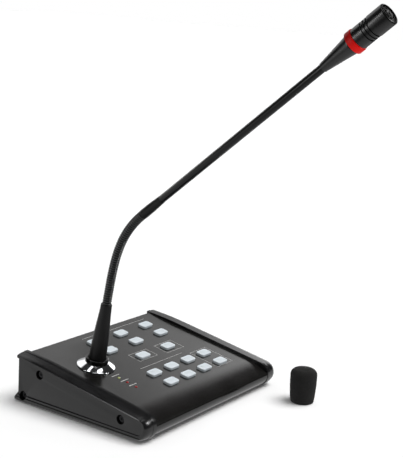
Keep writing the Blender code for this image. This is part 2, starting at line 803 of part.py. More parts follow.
def cheek_loop(x, inset):
    """The cheek's outline in the plane at x, with its rim, nose and foot drawn in by inset.

    The rim's last stretch droops towards the rear and overhangs the rear face a little.
    """
    lower_edge = rim_height(0.0, RIM_END_HEIGHT)
    foot = CHEEK_FLOOR_GAP + FOOT_FALL_SHARE * inset
    points = [
        (FOOT_FLARE, foot),
        (FOOT_FLARE, FLARE_LAND_HEIGHT),
        (0.0, FLARE_HEIGHT),
        (0.0, lower_edge),
        (RIM_OVERHANG, lower_edge + RIM_OVERHANG / 2),
    ]
    for step in range(RIM_END_STEPS + 1):
        run_share = 1 - step / RIM_END_STEPS
        y = RIM_OVERHANG + (run_share - 1) * RIM_END_RUN
        points.append((y, rim_height(y, inset) - RIM_END_DROP * run_share ** 2))
    centre, radius = nose_circle()
    points += arc(centre, radius - inset, PANEL_NORMAL_ANGLE, math.pi * 3 / 2, NOSE_STEPS)
    return [(x, y, z) for y, z in points]


def recess_outline(inset):
    """The flat field on the cheek's outer face, open at the rear, inset from rim, nose and foot."""
    centre, radius = nose_circle()
    front = centre[0] - radius + inset
    rear = FOOT_FLARE + CUT_OVERRUN
    foot = CHEEK_FLOOR_GAP + inset
    corner = RECESS_CORNER_RADIUS
    corner_y = front + corner
    upper = (corner_y, rim_height(corner_y, inset) - corner / math.cos(PANEL_ANGLE))
    lower = (corner_y, foot + corner)
    outline = [(rear, foot), (rear, rim_height(rear, inset))]
    outline += arc(upper, corner, PANEL_NORMAL_ANGLE, math.pi, RECESS_CORNER_STEPS)
    outline += arc(lower, corner, math.pi, math.pi * 3 / 2, RECESS_CORNER_STEPS)
    return outline


def make_cheek(name, side, base):
    """One end cheek, built from the case outwards; side is -1 on the left and 1 on the right."""
    profile = [(0.0, BEAD_BEVEL), (BEAD_BEVEL, 0.0), (BEAD_WIDTH, 0.0)]
    crown_start = BEAD_WIDTH + BEAD_BEVEL
    for step in range(CROWN_STEPS + 1):
        turn = math.pi / 2 * step / CROWN_STEPS
        across = crown_start + (CHEEK_THICKNESS - crown_start) * math.sin(turn)
        profile.append((across, CROWN_DROP + CROWN_FALL * (1 - math.cos(turn))))
    loops = [cheek_loop(side * (HALF_CASE + across), inset) for across, inset in profile]
    cheek = piece(name, loft(loops), "moulded black", base)

    outer = HALF_CASE + CHEEK_THICKNESS
    beyond = side * (outer + CUT_OVERRUN)
    ledge = CROWN_DROP + CROWN_FALL + RIM_LAND
    cut(cheek, prism(recess_outline(ledge), side * (outer - LEDGE_DEPTH), beyond), name + "_ledge")
    field = recess_outline(ledge + LEDGE_WIDTH)
    cut(cheek, prism(field, side * (outer - RECESS_DEPTH), beyond), name + "_recess")
    facing = FACING_RIGHT if side > 0 else FACING_LEFT
    depth = RECESS_DEPTH + COUNTERBORE_DEPTH
    throat = M3_RADIUS + M3_CLEARANCE
    holes = []
    for y, z in cheek_screw_places():
        hole = turned(
            [
                (0.0, -CHEEK_THICKNESS - CUT_OVERRUN),
                (throat, -CHEEK_THICKNESS - CUT_OVERRUN),
                (throat, -depth),
                (COUNTERBORE_RADIUS, -depth),
                (COUNTERBORE_RADIUS, CUT_OVERRUN),
                (0.0, CUT_OVERRUN),
            ]
        )
        holes.append(moved(hole, along(facing, side * outer, y, z)))
    cut(cheek, joined(holes), name + "_counterbores")


def make_cheek_screws(base):
    head_seat = HALF_CASE + CHEEK_THICKNESS - RECESS_DEPTH - COUNTERBORE_DEPTH + SEAT_GAP
    length = head_seat - TRAY_INNER_HALF + NUT_HEIGHT
    for side_name, side, facing in (("left", -1, FACING_LEFT), ("right", 1, FACING_RIGHT)):
        for index, (y, z) in enumerate(cheek_screw_places()):
            screw = moved(cap_screw(length), facing)
            name = f"cheek_screw_{side_name}_{index + 1}"
            piece(name, screw, "black steel", base, (side * head_seat, y, z))


def make_cover_screws(base):
    for side_name, place in zip(("left", "right"), cover_screw_places()):
        screw = moved(sunk_screw(COVER_SCREW_LENGTH), FACING_REAR)
        piece("cover_screw_" + side_name, screw, "black steel", base, place.to_translation())


def foot_lines():
    """Name and y of the two rubber strips under the tray."""
    front = COVER_LIP - CASE_DEPTH + FOOT_FRONT_INSET
    return [("foot_front", front), ("foot_rear", TRAY_REAR - FOOT_REAR_INSET)]


def make_feet(base):
    top = TRAY_UNDERSIDE - SEAT_GAP
    length = 2 * (HALF_CASE - FOOT_INSET)
    narrow = (length - 2 * FOOT_EDGE, FOOT_WIDTH - 2 * FOOT_EDGE, FOOT_CORNER_RADIUS - FOOT_EDGE)
    full = (length, FOOT_WIDTH, FOOT_CORNER_RADIUS)
    levels = [(narrow, 0.0), (full, FOOT_EDGE), (full, top)]
    for name, y in foot_lines():
        loops = [rounded_rectangle(*size, height, FOOT_CORNER_STEPS) for size, height in levels]
        piece(name, loft(loops), "black rubber", base, (0.0, y, 0.0))


# Keys, lamps and the board that carries them

def key_shape():
    """A cap with a flange that stops under the panel and a stem that reaches into its switch."""
    flange_top = -COVER_SHEET - SEAT_GAP
    flange_bottom = flange_top - KEY_FLANGE_HEIGHT
    stem_bottom = BOARD_TOP + SEAT_GAP + DOME_HEIGHT - STEM_ENGAGEMENT
    wide = (KEY_WIDTH + 2 * KEY_FLANGE, KEY_LENGTH + 2 * KEY_FLANGE, KEY_CORNER_RADIUS + KEY_FLANGE)
    cap = (KEY_WIDTH, KEY_LENGTH, KEY_CORNER_RADIUS)
    top = (KEY_WIDTH - 2 * KEY_CHAMFER, KEY_LENGTH - 2 * KEY_CHAMFER, KEY_CORNER_RADIUS - KEY_CHAMFER)
    stem = (STEM_SIDE, STEM_SIDE, STEM_CORNER_RADIUS)
    levels = [
        (stem, stem_bottom),
        (stem, flange_bottom),
        (wide, flange_bottom),
        (wide, flange_top),
        (cap, flange_top),
        (cap, KEY_PROUD - KEY_CHAMFER),
        (top, KEY_PROUD),
    ]
    return loft([rounded_rectangle(*size, height, KEY_CORNER_STEPS) for size, height in levels])


def make_keys(panel):
    for name, x, start in key_places():
        piece(name, key_shape(), "key plastic", panel, (x, -start, 0.0))


def make_key_mat(panel):
    """One silicone sheet on the board, with a hollow dome under each key that its stem stands in."""
    bottom = BOARD_TOP + SEAT_GAP
    places = [(x, start) for name, x, start in key_places()]
    left = min(x for x, start in places) - DOME_SIDE / 2 - MAT_MARGIN
    right = max(x for x, start in places) + DOME_SIDE / 2 + MAT_MARGIN
    rear = min(start for x, start in places) - DOME_SIDE / 2 - MAT_MARGIN
    front = max(start for x, start in places) + DOME_SIDE / 2 + MAT_MARGIN
    centre = ((left + right) / 2, -(rear + front) / 2, bottom + MAT_THICKNESS / 2)
    mat = piece("key_mat", block((right - left, front - rear, MAT_THICKNESS), centre), "white plastic", panel)
    body = (DOME_SIDE, DOME_SIDE, DOME_CORNER_RADIUS)
    well_side = STEM_SIDE + 2 * STEM_CLEARANCE
    well = (well_side, well_side, STEM_CORNER_RADIUS)
    top = bottom + DOME_HEIGHT
    levels = [(body, bottom + MAT_THICKNESS / 2), (body, top), (well, top), (well, bottom + DOME_WELL_FLOOR)]
    domes = []
    for x, start in places:
        loops = [rounded_rectangle(*size, height, DOME_CORNER_STEPS) for size, height in levels]
        domes.append(moved(loft(loops), on_panel(x, start)))
    add(mat, joined(domes), "key_mat_domes")


def lamp_shape():
    """A lamp with a domed lens and a flange."""
    base_height = LAMP_PROUD - LAMP_BODY_LENGTH
    flange = LAMP_RADIUS + LAMP_FLANGE
    profile = [(0.0, base_height), (flange, base_height), (flange, base_height + LAMP_FLANGE_HEIGHT)]
    profile.append((LAMP_RADIUS, base_height + LAMP_FLANGE_HEIGHT))
    profile += arc((0.0, LAMP_PROUD - LAMP_RADIUS), LAMP_RADIUS, 0.0, math.pi / 2, LAMP_DOME_STEPS)[:-1]
    profile.append((0.0, LAMP_PROUD))
    return turned(profile, LAMP_SIDES)


def make_lamps(panel):
    bottom = BOARD_TOP + SEAT_GAP
    top = LAMP_PROUD - LAMP_BODY_LENGTH + LAMP_FLANGE_HEIGHT / 2
    size = (LAMP_LEG_SIDE, LAMP_LEG_SIDE, top - bottom)
    looks = (
        ("status_lamp_green", "green lamp"),
        ("status_lamp_red_1", "red lamp"),
        ("status_lamp_red_2", "red lamp"),
    )
    for (name, finish), (x, start) in zip(looks, lamp_places()):
        lamp = piece(name, lamp_shape(), finish, panel, (x, -start, 0.0))
        legs = [block(size, (side * LAMP_LEG_SPACING, 0.0, (top + bottom) / 2)) for side in (-1, 1)]
        add(lamp, joined(legs), name + "_legs")


def make_key_board(panel):
    """The board under the panel, with its two chips on the underside."""
    length = BOARD_END - BOARD_START
    middle = -(BOARD_START + length / 2)
    board = block((BOARD_WIDTH, length, BOARD_THICKNESS), (0.0, middle, BOARD_TOP - BOARD_THICKNESS / 2))
    key_board = piece("key_board", board, "circuit board", panel)
    chip_top = BOARD_UNDERSIDE + BOARD_THICKNESS / 2
    chip_bottom = BOARD_UNDERSIDE - CHIP_HEIGHT
    chips = []
    for index in range(2):
        centre = (-CHIP_OFFSET, -(CHIP_START + index * CHIP_SPACING), (chip_top + chip_bottom) / 2)
        chips.append(block((CHIP_SIDE, CHIP_SIDE, chip_top - chip_bottom), centre))
    add(key_board, joined(chips), "key_board_chips")

    low = BOARD_UNDERSIDE - CUT_OVERRUN
    high = BOARD_TOP + CUT_OVERRUN
    holes = []
    for radius, places in zip((PEG_RADIUS + PEG_CLEARANCE, M3_RADIUS + M3_CLEARANCE), stud_places()):
        holes += [moved(rod(radius, low, high, SCREW_SIDES), on_panel(x, start)) for x, start in places]
    holes.append(moved(rod(BOARD_NECK_HOLE_RADIUS, low, high), on_panel(-NECK_OFFSET, NECK_START)))
    cut(key_board, joined(holes), "key_board_holes")
    for side_name, (x, start) in zip(("right", "left"), stud_places()[1]):
        screw = moved(cap_screw(BOARD_SCREW_LENGTH), Matrix.Rotation(math.pi, 4, "X"))
        piece("board_screw_" + side_name, screw, "zinc steel", panel, (x, -start, BOARD_UNDERSIDE - SEAT_GAP))


def make_connector_board(base):
    """The level board behind the rear wall, with its capacitors, on the tray's posts."""
    size = (LINK_BOARD_WIDTH, LINK_BOARD_DEPTH, BOARD_THICKNESS)
    middle = (LINK_BOARD_REAR + LINK_BOARD_FRONT) / 2
    centre = (LINK_BOARD_OFFSET, middle, LINK_BOARD_TOP - BOARD_THICKNESS / 2)
    board = piece("connector_board", block(size, centre), "circuit board", base)
    bottom = LINK_BOARD_TOP - BOARD_THICKNESS / 2
    top = LINK_BOARD_TOP + CAPACITOR_HEIGHT
    cans = []
    for index in range(3):
        y = LINK_BOARD_REAR - CAPACITOR_START - index * CAPACITOR_SPACING
        can = rod(CAPACITOR_RADIUS, bottom, top, LAMP_SIDES)
        cans.append(moved(can, Matrix.Translation((CAPACITOR_OFFSET, y, 0.0))))
    add(board, joined(cans), "connector_board_cans")
    holes = []
    for x, y in link_post_places():
        radius = PEG_RADIUS + PEG_CLEARANCE
        hole = rod(radius, LINK_BOARD_UNDERSIDE - CUT_OVERRUN, LINK_BOARD_TOP + CUT_OVERRUN, SCREW_SIDES)
        holes.append(moved(hole, Matrix.Translation((x, y, 0.0))))
    cut(board, joined(holes), "connector_board_holes")


# Rear connectors

def make_jacks(base):
    """A pair of modular network jacks in one housing, its mouths a little proud of the tray's rear wall."""
    mouth = TRAY_REAR + JACK_PROUD
    bottom = LINK_BOARD_TOP + SEAT_GAP
    centre = (JACK_OFFSET, mouth - JACK_DEPTH / 2, bottom + JACK_HEIGHT / 2)
    shell = block((JACK_WIDTH, JACK_DEPTH, JACK_HEIGHT), centre)
    jacks = piece("network_jacks", shell, "black plastic", base)
    wells = []
    latches = []
    for x in jack_centres():
        depth = JACK_WELL_DEPTH + CUT_OVERRUN
        well_y = mouth + CUT_OVERRUN - depth / 2
        well_z = bottom + JACK_WELL_RISE + JACK_WELL_HEIGHT / 2
        wells.append(block((JACK_WELL_WIDTH, depth, JACK_WELL_HEIGHT), (x, well_y, well_z)))
        latch_height = JACK_LATCH_DROP + JACK_WELL_HEIGHT / 2
        latch_z = bottom + JACK_WELL_RISE - JACK_LATCH_DROP + latch_height / 2
        latches.append(block((JACK_LATCH_WIDTH, depth, latch_height), (x, well_y, latch_z)))
    cut(jacks, joined(wells), "jack_wells")
    cut(jacks, joined(latches), "jack_latches")


def make_ribbon(base):
    """The flat cable between the two boards, with a plug at each end, drawn as one side view."""
    plug_half = RIBBON_PLUG_DEPTH / 2
    low_y = LINK_BOARD_FRONT + RIBBON_LINK_INSET
    low_bottom = LINK_BOARD_TOP + SEAT_GAP
    first = Vector((low_y, low_bottom + RIBBON_PLUG_HEIGHT))
    plug_top = BOARD_UNDERSIDE - SEAT_GAP
    plug_bottom = plug_top - RIBBON_PLUG_HEIGHT
    last = panel_point(0.0, RIBBON_BOARD_START, plug_bottom).yz
    up = Vector((0.0, 1.0))
    square_up = Vector((-math.sin(PANEL_ANGLE), math.cos(PANEL_ANGLE)))
    ahead = Vector((-1.0, 0.0))
    sag = Vector(((first.x + last.x) / 2, RIBBON_SAG_HEIGHT))
    line = interpolate_bezier(
        first, first + up * RIBBON_RISE_PULL, sag - ahead * RIBBON_SAG_PULL, sag, RIBBON_STEPS
    )
    line += interpolate_bezier(
        sag, sag + ahead * RIBBON_SAG_PULL, last - square_up * RIBBON_ENTRY_PULL, last, RIBBON_STEPS
    )[1:]
    rear_side = [(low_y + plug_half, low_bottom), (low_y + plug_half, first.y)]
    front_side = [(low_y - plug_half, low_bottom), (low_y - plug_half, first.y)]
    for index, point in enumerate(line):
        if index == 0:
            heading = up
        elif index == len(line) - 1:
            heading = square_up
        else:
            heading = (line[index + 1] - line[index - 1]).normalized()
        across = Vector((heading.y, -heading.x)) * RIBBON_THICKNESS / 2
        rear_side.append(tuple(point + across))
        front_side.append(tuple(point - across))
    for side, outline in ((-1, rear_side), (1, front_side)):
        for rise in (plug_bottom, plug_top):
            outline.append(tuple(panel_point(0.0, RIBBON_BOARD_START + side * plug_half, rise).yz))
    outline = rear_side + front_side[::-1]
    left = RIBBON_OFFSET - RIBBON_WIDTH / 2
    piece("ribbon_cable", prism(outline, left, left + RIBBON_WIDTH), "grey cable", base)


# Neck seat and boot, in the frame that stands on the panel

def circle(radius, height, sides):
    turns = [math.tau * index / sides for index in range(sides)]
    return [(radius * math.cos(turn), radius * math.sin(turn), height) for turn in turns]


def hexagon(across_flats, height):
    """A hexagonal loop with as many points as the round hole inside it."""
    loop = []
    for index in range(LOCK_NUT_SIDES):
        turn = math.tau * index / LOCK_NUT_SIDES
        radius = across_flats / 2 / math.cos(turn % (math.pi / 3) - math.pi / 6)
        loop.append((radius * math.cos(turn), radius * math.sin(turn), height))
    return loop


def make_neck_seat(neck):
    bore = SOCKET_RADIUS + SEAT_GAP
    bottom = SEAT_GAP
    land = bottom + FLANGE_HEIGHT
    dome = bottom + FLANGE_FOOT_HEIGHT + FLANGE_EDGE
    profile = [
        (bore, bottom),
        (FLANGE_FOOT_RADIUS, bottom),
        (FLANGE_FOOT_RADIUS, bottom + FLANGE_FOOT_HEIGHT),
        (FLANGE_RADIUS, bottom + FLANGE_FOOT_HEIGHT),
    ]
    for step in range(FLANGE_CROWN_STEPS + 1):
        turn = math.pi / 2 * step / FLANGE_CROWN_STEPS
        radius = FLANGE_LAND_RADIUS + (FLANGE_RADIUS - FLANGE_LAND_RADIUS) * math.cos(turn)
        profile.append((radius, dome + (land - dome) * math.sin(turn)))
    profile.append((bore, land))
    piece("neck_flange", turned(profile), "chrome", neck)

    socket = [
        (SOCKET_BORE_RADIUS, -SOCKET_DROP),
        (SOCKET_RADIUS, -SOCKET_DROP),
        (SOCKET_RADIUS, SOCKET_RISE),
        (SOCKET_BORE_RADIUS, SOCKET_RISE),
    ]
    piece("neck_socket", turned(socket), "brass", neck)

    nut_top = -COVER_SHEET - SEAT_GAP
    nut_bottom = nut_top - LOCK_NUT_HEIGHT
    hole = [circle(bore, height, LOCK_NUT_SIDES) for height in (nut_bottom, nut_top)]
    nut = [hole[0], hexagon(LOCK_NUT_FLATS, nut_bottom), hexagon(LOCK_NUT_FLATS, nut_top), hole[1]]
    piece("neck_lock_nut", loft(nut, closed=True), "zinc steel", neck)

    floor = land + SEAT_GAP
    top = floor + BOOT_RING_HEIGHT
    inner = BOOT_RING_RADIUS - BOOT_RING_WALL
    round_centre = (BOOT_RING_RADIUS - BOOT_RING_ROUND, top - BOOT_RING_ROUND)
    profile = [(bore, floor), (BOOT_RING_RADIUS, floor)]
    profile += arc(round_centre, BOOT_RING_ROUND, 0.0, math.pi / 2, 3)
    profile += [(inner, top), (inner, floor + BOOT_RING_FLOOR), (bore, floor + BOOT_RING_FLOOR)]
    piece("boot_ring", turned(profile), "satin black metal", neck)

    boot_bottom = floor + BOOT_RING_FLOOR + SEAT_GAP
    length = BOOT_TOP - boot_bottom
    profile = [(bore, boot_bottom), (BOOT_RADIUS, boot_bottom)]
    for height_share, taper_share in zip(BOOT_HEIGHT_SHARES, BOOT_TAPER_SHARES):
        radius = BOOT_RADIUS - (BOOT_RADIUS - BOOT_TOP_RADIUS) * taper_share
        profile.append((radius, boot_bottom + length * height_share))
    profile += [(BOOT_TOP_RADIUS, BOOT_TOP - BOOT_LIP), (BOOT_TOP_RADIUS - BOOT_LIP / 2, BOOT_TOP)]
    flex_bore = FLEX_RADIUS + SEAT_GAP
    shoulder = SOCKET_RISE + SEAT_GAP
    profile += [(flex_bore, BOOT_TOP), (flex_bore, shoulder), (bore, shoulder)]
    piece("neck_boot", turned(profile), "black rubber", neck)


# Flexible tube

def measured(points):
    """A route: its points, and the distance of each along it."""
    travels = [0.0]
    for before, after in zip(points, points[1:]):
        travels.append(travels[-1] + (after - before).length)
    return points, travels


def neck_route():
    """The centre line of the flexible tube in the base frame, as points with their distance along it."""
    start = panel_point(-NECK_OFFSET, NECK_START, SOCKET_RISE + SEAT_GAP)
    boot_top = panel_point(-NECK_OFFSET, NECK_START, BOOT_TOP)
    foot = panel_point(-NECK_OFFSET, NECK_START)
    end = foot + Vector((0.0, -FLEX_FORWARD, FLEX_RISE))
    rise = (boot_top - foot).normalized()
    aim = Vector((0.0, -math.cos(ARM_ELEVATION), math.sin(ARM_ELEVATION)))
    curve = interpolate_bezier(
        boot_top, boot_top + rise * FLEX_START_PULL, end - aim * FLEX_END_PULL, end, CURVE_SAMPLES
    )
    return measured([start] + list(curve))


def station(route, travel):
    """Point and heading on the route at a distance along it."""
    points, travels = route
    index = 1
    while index < len(travels) - 1 and travels[index] < travel:
        index += 1
    before, after = points[index - 1], points[index]
    share = (travel - travels[index - 1]) / (travels[index] - travels[index - 1])
    smooth_before = (after - points[max(index - 2, 0)]).normalized()
    smooth_after = (points[min(index + 1, len(points) - 1)] - before).normalized()
    heading = smooth_before.lerp(smooth_after, share).normalized()
    return before.lerp(after, share), heading


def hoop(route, travel, radius, sides):
    """A ring of points square to the route, which lies in a plane of constant x."""
    centre, heading = station(route, travel)
    side = Vector((1.0, 0.0, 0.0))
    normal = heading.cross(side)
    return [centre + side * x + normal * y for x, y, z in circle(radius, 0.0, sides)]


def ribbed_tube(route, start, end, ribs_start):
    """A bored tube between two distances on the route, ribbed from ribs_start to its end."""
    outer = []
    root = FLEX_RADIUS - RIB_DEPTH
    if ribs_start > start:
        outer += [(start, root), (ribs_start, root)]
    else:
        outer.append((start, root))
    count = max(int((end - ribs_start) / RIB_PITCH), 1)
    pitch = (end - ribs_start) / count
    for index in range(count):
        middle = ribs_start + index * pitch + pitch / 2
        outer.append((middle, FLEX_RADIUS))
        outer.append((ribs_start + (index + 1) * pitch, root))
    bore_count = max(int((end - start) / FLEX_BORE_STEP), 1)
    inner = [(end - (end - start) * k / bore_count, FLEX_BORE_RADIUS) for k in range(bore_count + 1)]
    return loft([hoop(route, travel, radius, FLEX_SIDES) for travel, radius in outer + inner], closed=True)


def rings_along(route, start, end):
    """The lead's rings between two distances on a route."""
    count = max(int((end - start) / LEAD_STEP), 1)
    travels = [start + (end - start) * index / count for index in range(count + 1)]
    return [hoop(route, travel, LEAD_RADIUS, LEAD_SIDES) for travel in travels]


def hinge_frame(name, base, point, heading):
    """An empty on a bending joint, with Z along the tube there."""
    tilt = math.atan2(-heading.y, heading.z)
    return empty(name, base, point, tilt)


def settled(shape, frame):
    """Turns a shape given in the base frame into the frame's own."""
    return moved(shape, frame.matrix_basis.inverted())


def neck_stations(route):
    """Distances along the route: boot top, middle of the visible flexible tube, its end, both hinges."""
    boot_top = BOOT_TOP - SOCKET_RISE - SEAT_GAP
    end = route[1][-1]
    middle = (boot_top + end) / 2
    return boot_top, middle, end, (boot_top + middle) / 2, (middle + end) / 2


def make_flex(base, lean_frame, route):
    boot_top, middle, end, lean_travel, bend_travel = neck_stations(route)
    lower = ribbed_tube(route, 0.0, middle - SEAT_GAP / 2, boot_top - RIB_PITCH)
    piece("flex_tube_lower", lower, "black steel", base)
    upper = ribbed_tube(route, middle + SEAT_GAP / 2, end - SEAT_GAP, middle + SEAT_GAP / 2)
    piece("flex_tube_upper", settled(upper, lean_frame), "black steel", lean_frame)


def make_lead(base, lean_frame, arm, arm_start, route):
    """The lead runs from the key board's underside up through the neck to the capsule, in three stretches."""
    boot_top, middle, end, lean_travel, bend_travel = neck_stations(route)
    foot = panel_point(-NECK_OFFSET, NECK_START, -SOCKET_DROP - LEAD_SOCKET_TAIL)
    solder = panel_point(-NECK_OFFSET, NECK_START + LEAD_REACH, BOARD_UNDERSIDE - SEAT_GAP)
    square_up = Vector((0.0, -math.sin(PANEL_ANGLE), math.cos(PANEL_ANGLE)))
    pull = square_up * LEAD_BEND_PULL
    bend = interpolate_bezier(solder, solder - pull, foot - pull, foot, LEAD_BEND_STEPS)
    side = Vector((1.0, 0.0, 0.0))
    section = circle(LEAD_RADIUS, 0.0, LEAD_SIDES)
    loops = []
    for index, point in enumerate(bend[:-1]):
        heading = (bend[index + 1] - bend[index - 1]).normalized() if index else -square_up
        normal = heading.cross(side)
        loops.append([point + side * x + normal * y for x, y, z in section])
    longer = measured([foot] + route[0])
    lower_end = longer[1][-1] - (end - middle) - SEAT_GAP / 2
    loops += rings_along(longer, 0.0, lower_end)
    piece("mic_lead_lower", loft(loops), "grey cable", base)
    upper = loft(rings_along(route, middle + SEAT_GAP / 2, end - SEAT_GAP / 2))
    piece("mic_lead_upper", settled(upper, lean_frame), "grey cable", lean_frame)
    straight = rod(LEAD_RADIUS, SEAT_GAP / 2, capsule_start() - SEAT_GAP, LEAD_SIDES)
    piece("mic_lead_arm", straight, "grey cable", arm, arm_start)


# Arm and head, along Z of the arm's frame from the end of the flexible tube

def make_arm(arm, arm_start):
    spigot = FLEX_BORE_RADIUS - SEAT_GAP
    bore = spigot - SPIGOT_WALL
    tube_spigot = TUBE_BORE_RADIUS - SEAT_GAP
    shoulder = COUPLING_LENGTH
    profile = [
        (bore, -SPIGOT_LENGTH),
        (spigot, -SPIGOT_LENGTH),
        (spigot, 0.0),
        (COUPLING_RADIUS - COUPLING_EDGE, 0.0),
        (COUPLING_RADIUS, COUPLING_EDGE),
        (COUPLING_RADIUS, COUPLING_PARALLEL),
        (COUPLING_END_RADIUS, shoulder),
        (tube_spigot, shoulder),
        (tube_spigot, shoulder + SPIGOT_LENGTH),
        (bore, shoulder + SPIGOT_LENGTH),
    ]
    piece("neck_coupling", turned(profile), "satin black metal", arm, arm_start)

    tube_start = shoulder + SEAT_GAP
    cone_start = COUPLING_LENGTH + TUBE_VISIBLE_LENGTH
    tube_end = cone_start + TUBE_SOCKET
    wall = [
        (TUBE_BORE_RADIUS, tube_start),
        (TUBE_RADIUS, tube_start),
        (TUBE_RADIUS, tube_end),
        (TUBE_BORE_RADIUS, tube_end),
    ]
    piece("arm_tube", turned(wall), "satin black metal", arm, arm_start)

    cone_end = cone_start + CONE_LENGTH - SEAT_GAP
    socket = TUBE_RADIUS + SEAT_GAP
    middle = cone_start + CONE_LENGTH * CONE_MIDDLE_SHARE
    swelling = CONE_MIDDLE_SHARE + CONE_SWELL_SHARE
    middle_radius = CONE_START_RADIUS + (CONE_END_RADIUS - CONE_START_RADIUS) * swelling
    profile = [
        (socket, cone_start),
        (CONE_START_RADIUS, cone_start),
        (middle_radius, middle),
        (CONE_END_RADIUS, cone_end - CONE_EDGE),
        (CONE_END_RADIUS - CONE_EDGE, cone_end),
        (CONE_END_RADIUS - CONE_WALL, cone_end),
        (CONE_END_RADIUS - CONE_WALL, cone_end - SLEEVE_DEPTH - SEAT_GAP),
        (socket, tube_end + SEAT_GAP),
    ]
    piece("head_cone", turned(profile), "satin black metal", arm, arm_start)


def ring_inner_radius():
    return LIGHT_RING_RADIUS - LIGHT_RING_WALL


def make_light_ring(arm, arm_start):
    start = LIGHT_RING_START
    end = HEAD_START - SEAT_GAP
    inner = ring_inner_radius()
    profile = [
        (inner, start),
        (LIGHT_RING_RADIUS - LIGHT_RING_EDGE, start),
        (LIGHT_RING_RADIUS, start + LIGHT_RING_EDGE),
        (LIGHT_RING_RADIUS, end - LIGHT_RING_EDGE),
        (LIGHT_RING_RADIUS - LIGHT_RING_EDGE, end),
        (inner, end),
    ]
    piece("light_ring", turned(profile), "red light ring", arm, arm_start)
    board_inner = SLEEVE_RADIUS + SEAT_GAP
    board_outer = board_inner + RING_BOARD_THICKNESS
    board_start = start + LIGHT_RING_EDGE
    board_end = end - LIGHT_RING_EDGE
    ring = [
        (board_inner, board_start),
        (board_outer, board_start),
        (board_outer, board_end),
        (board_inner, board_end),
    ]
    board = piece("ring_lamp_board", turned(ring), "white plastic", arm, arm_start)
    lamp_inner = (board_inner + board_outer) / 2
    depth = inner - SEAT_GAP - lamp_inner
    lamps = []
    for index in range(RING_LAMP_COUNT):
        centre = (lamp_inner + depth / 2, 0.0, (start + end) / 2)
        lamp = block((depth, RING_LAMP_WIDTH, RING_LAMP_LENGTH), centre)
        turn = math.tau * index / RING_LAMP_COUNT + math.pi / RING_LAMP_COUNT
        lamps.append(moved(lamp, Matrix.Rotation(turn, 4, "Z")))
    add(board, joined(lamps), "ring_lamps")


def face_plane():
    """Distance along the arm of the grille's flat rim face."""
    return HEAD_START + HEAD_LENGTH - HEAD_FACE_RECESS


def capsule_start():
    """Distance along the arm of the capsule's rear."""
    return face_plane() - GRILLE_THICKNESS - CAPSULE_SETBACK - CAPSULE_LENGTH


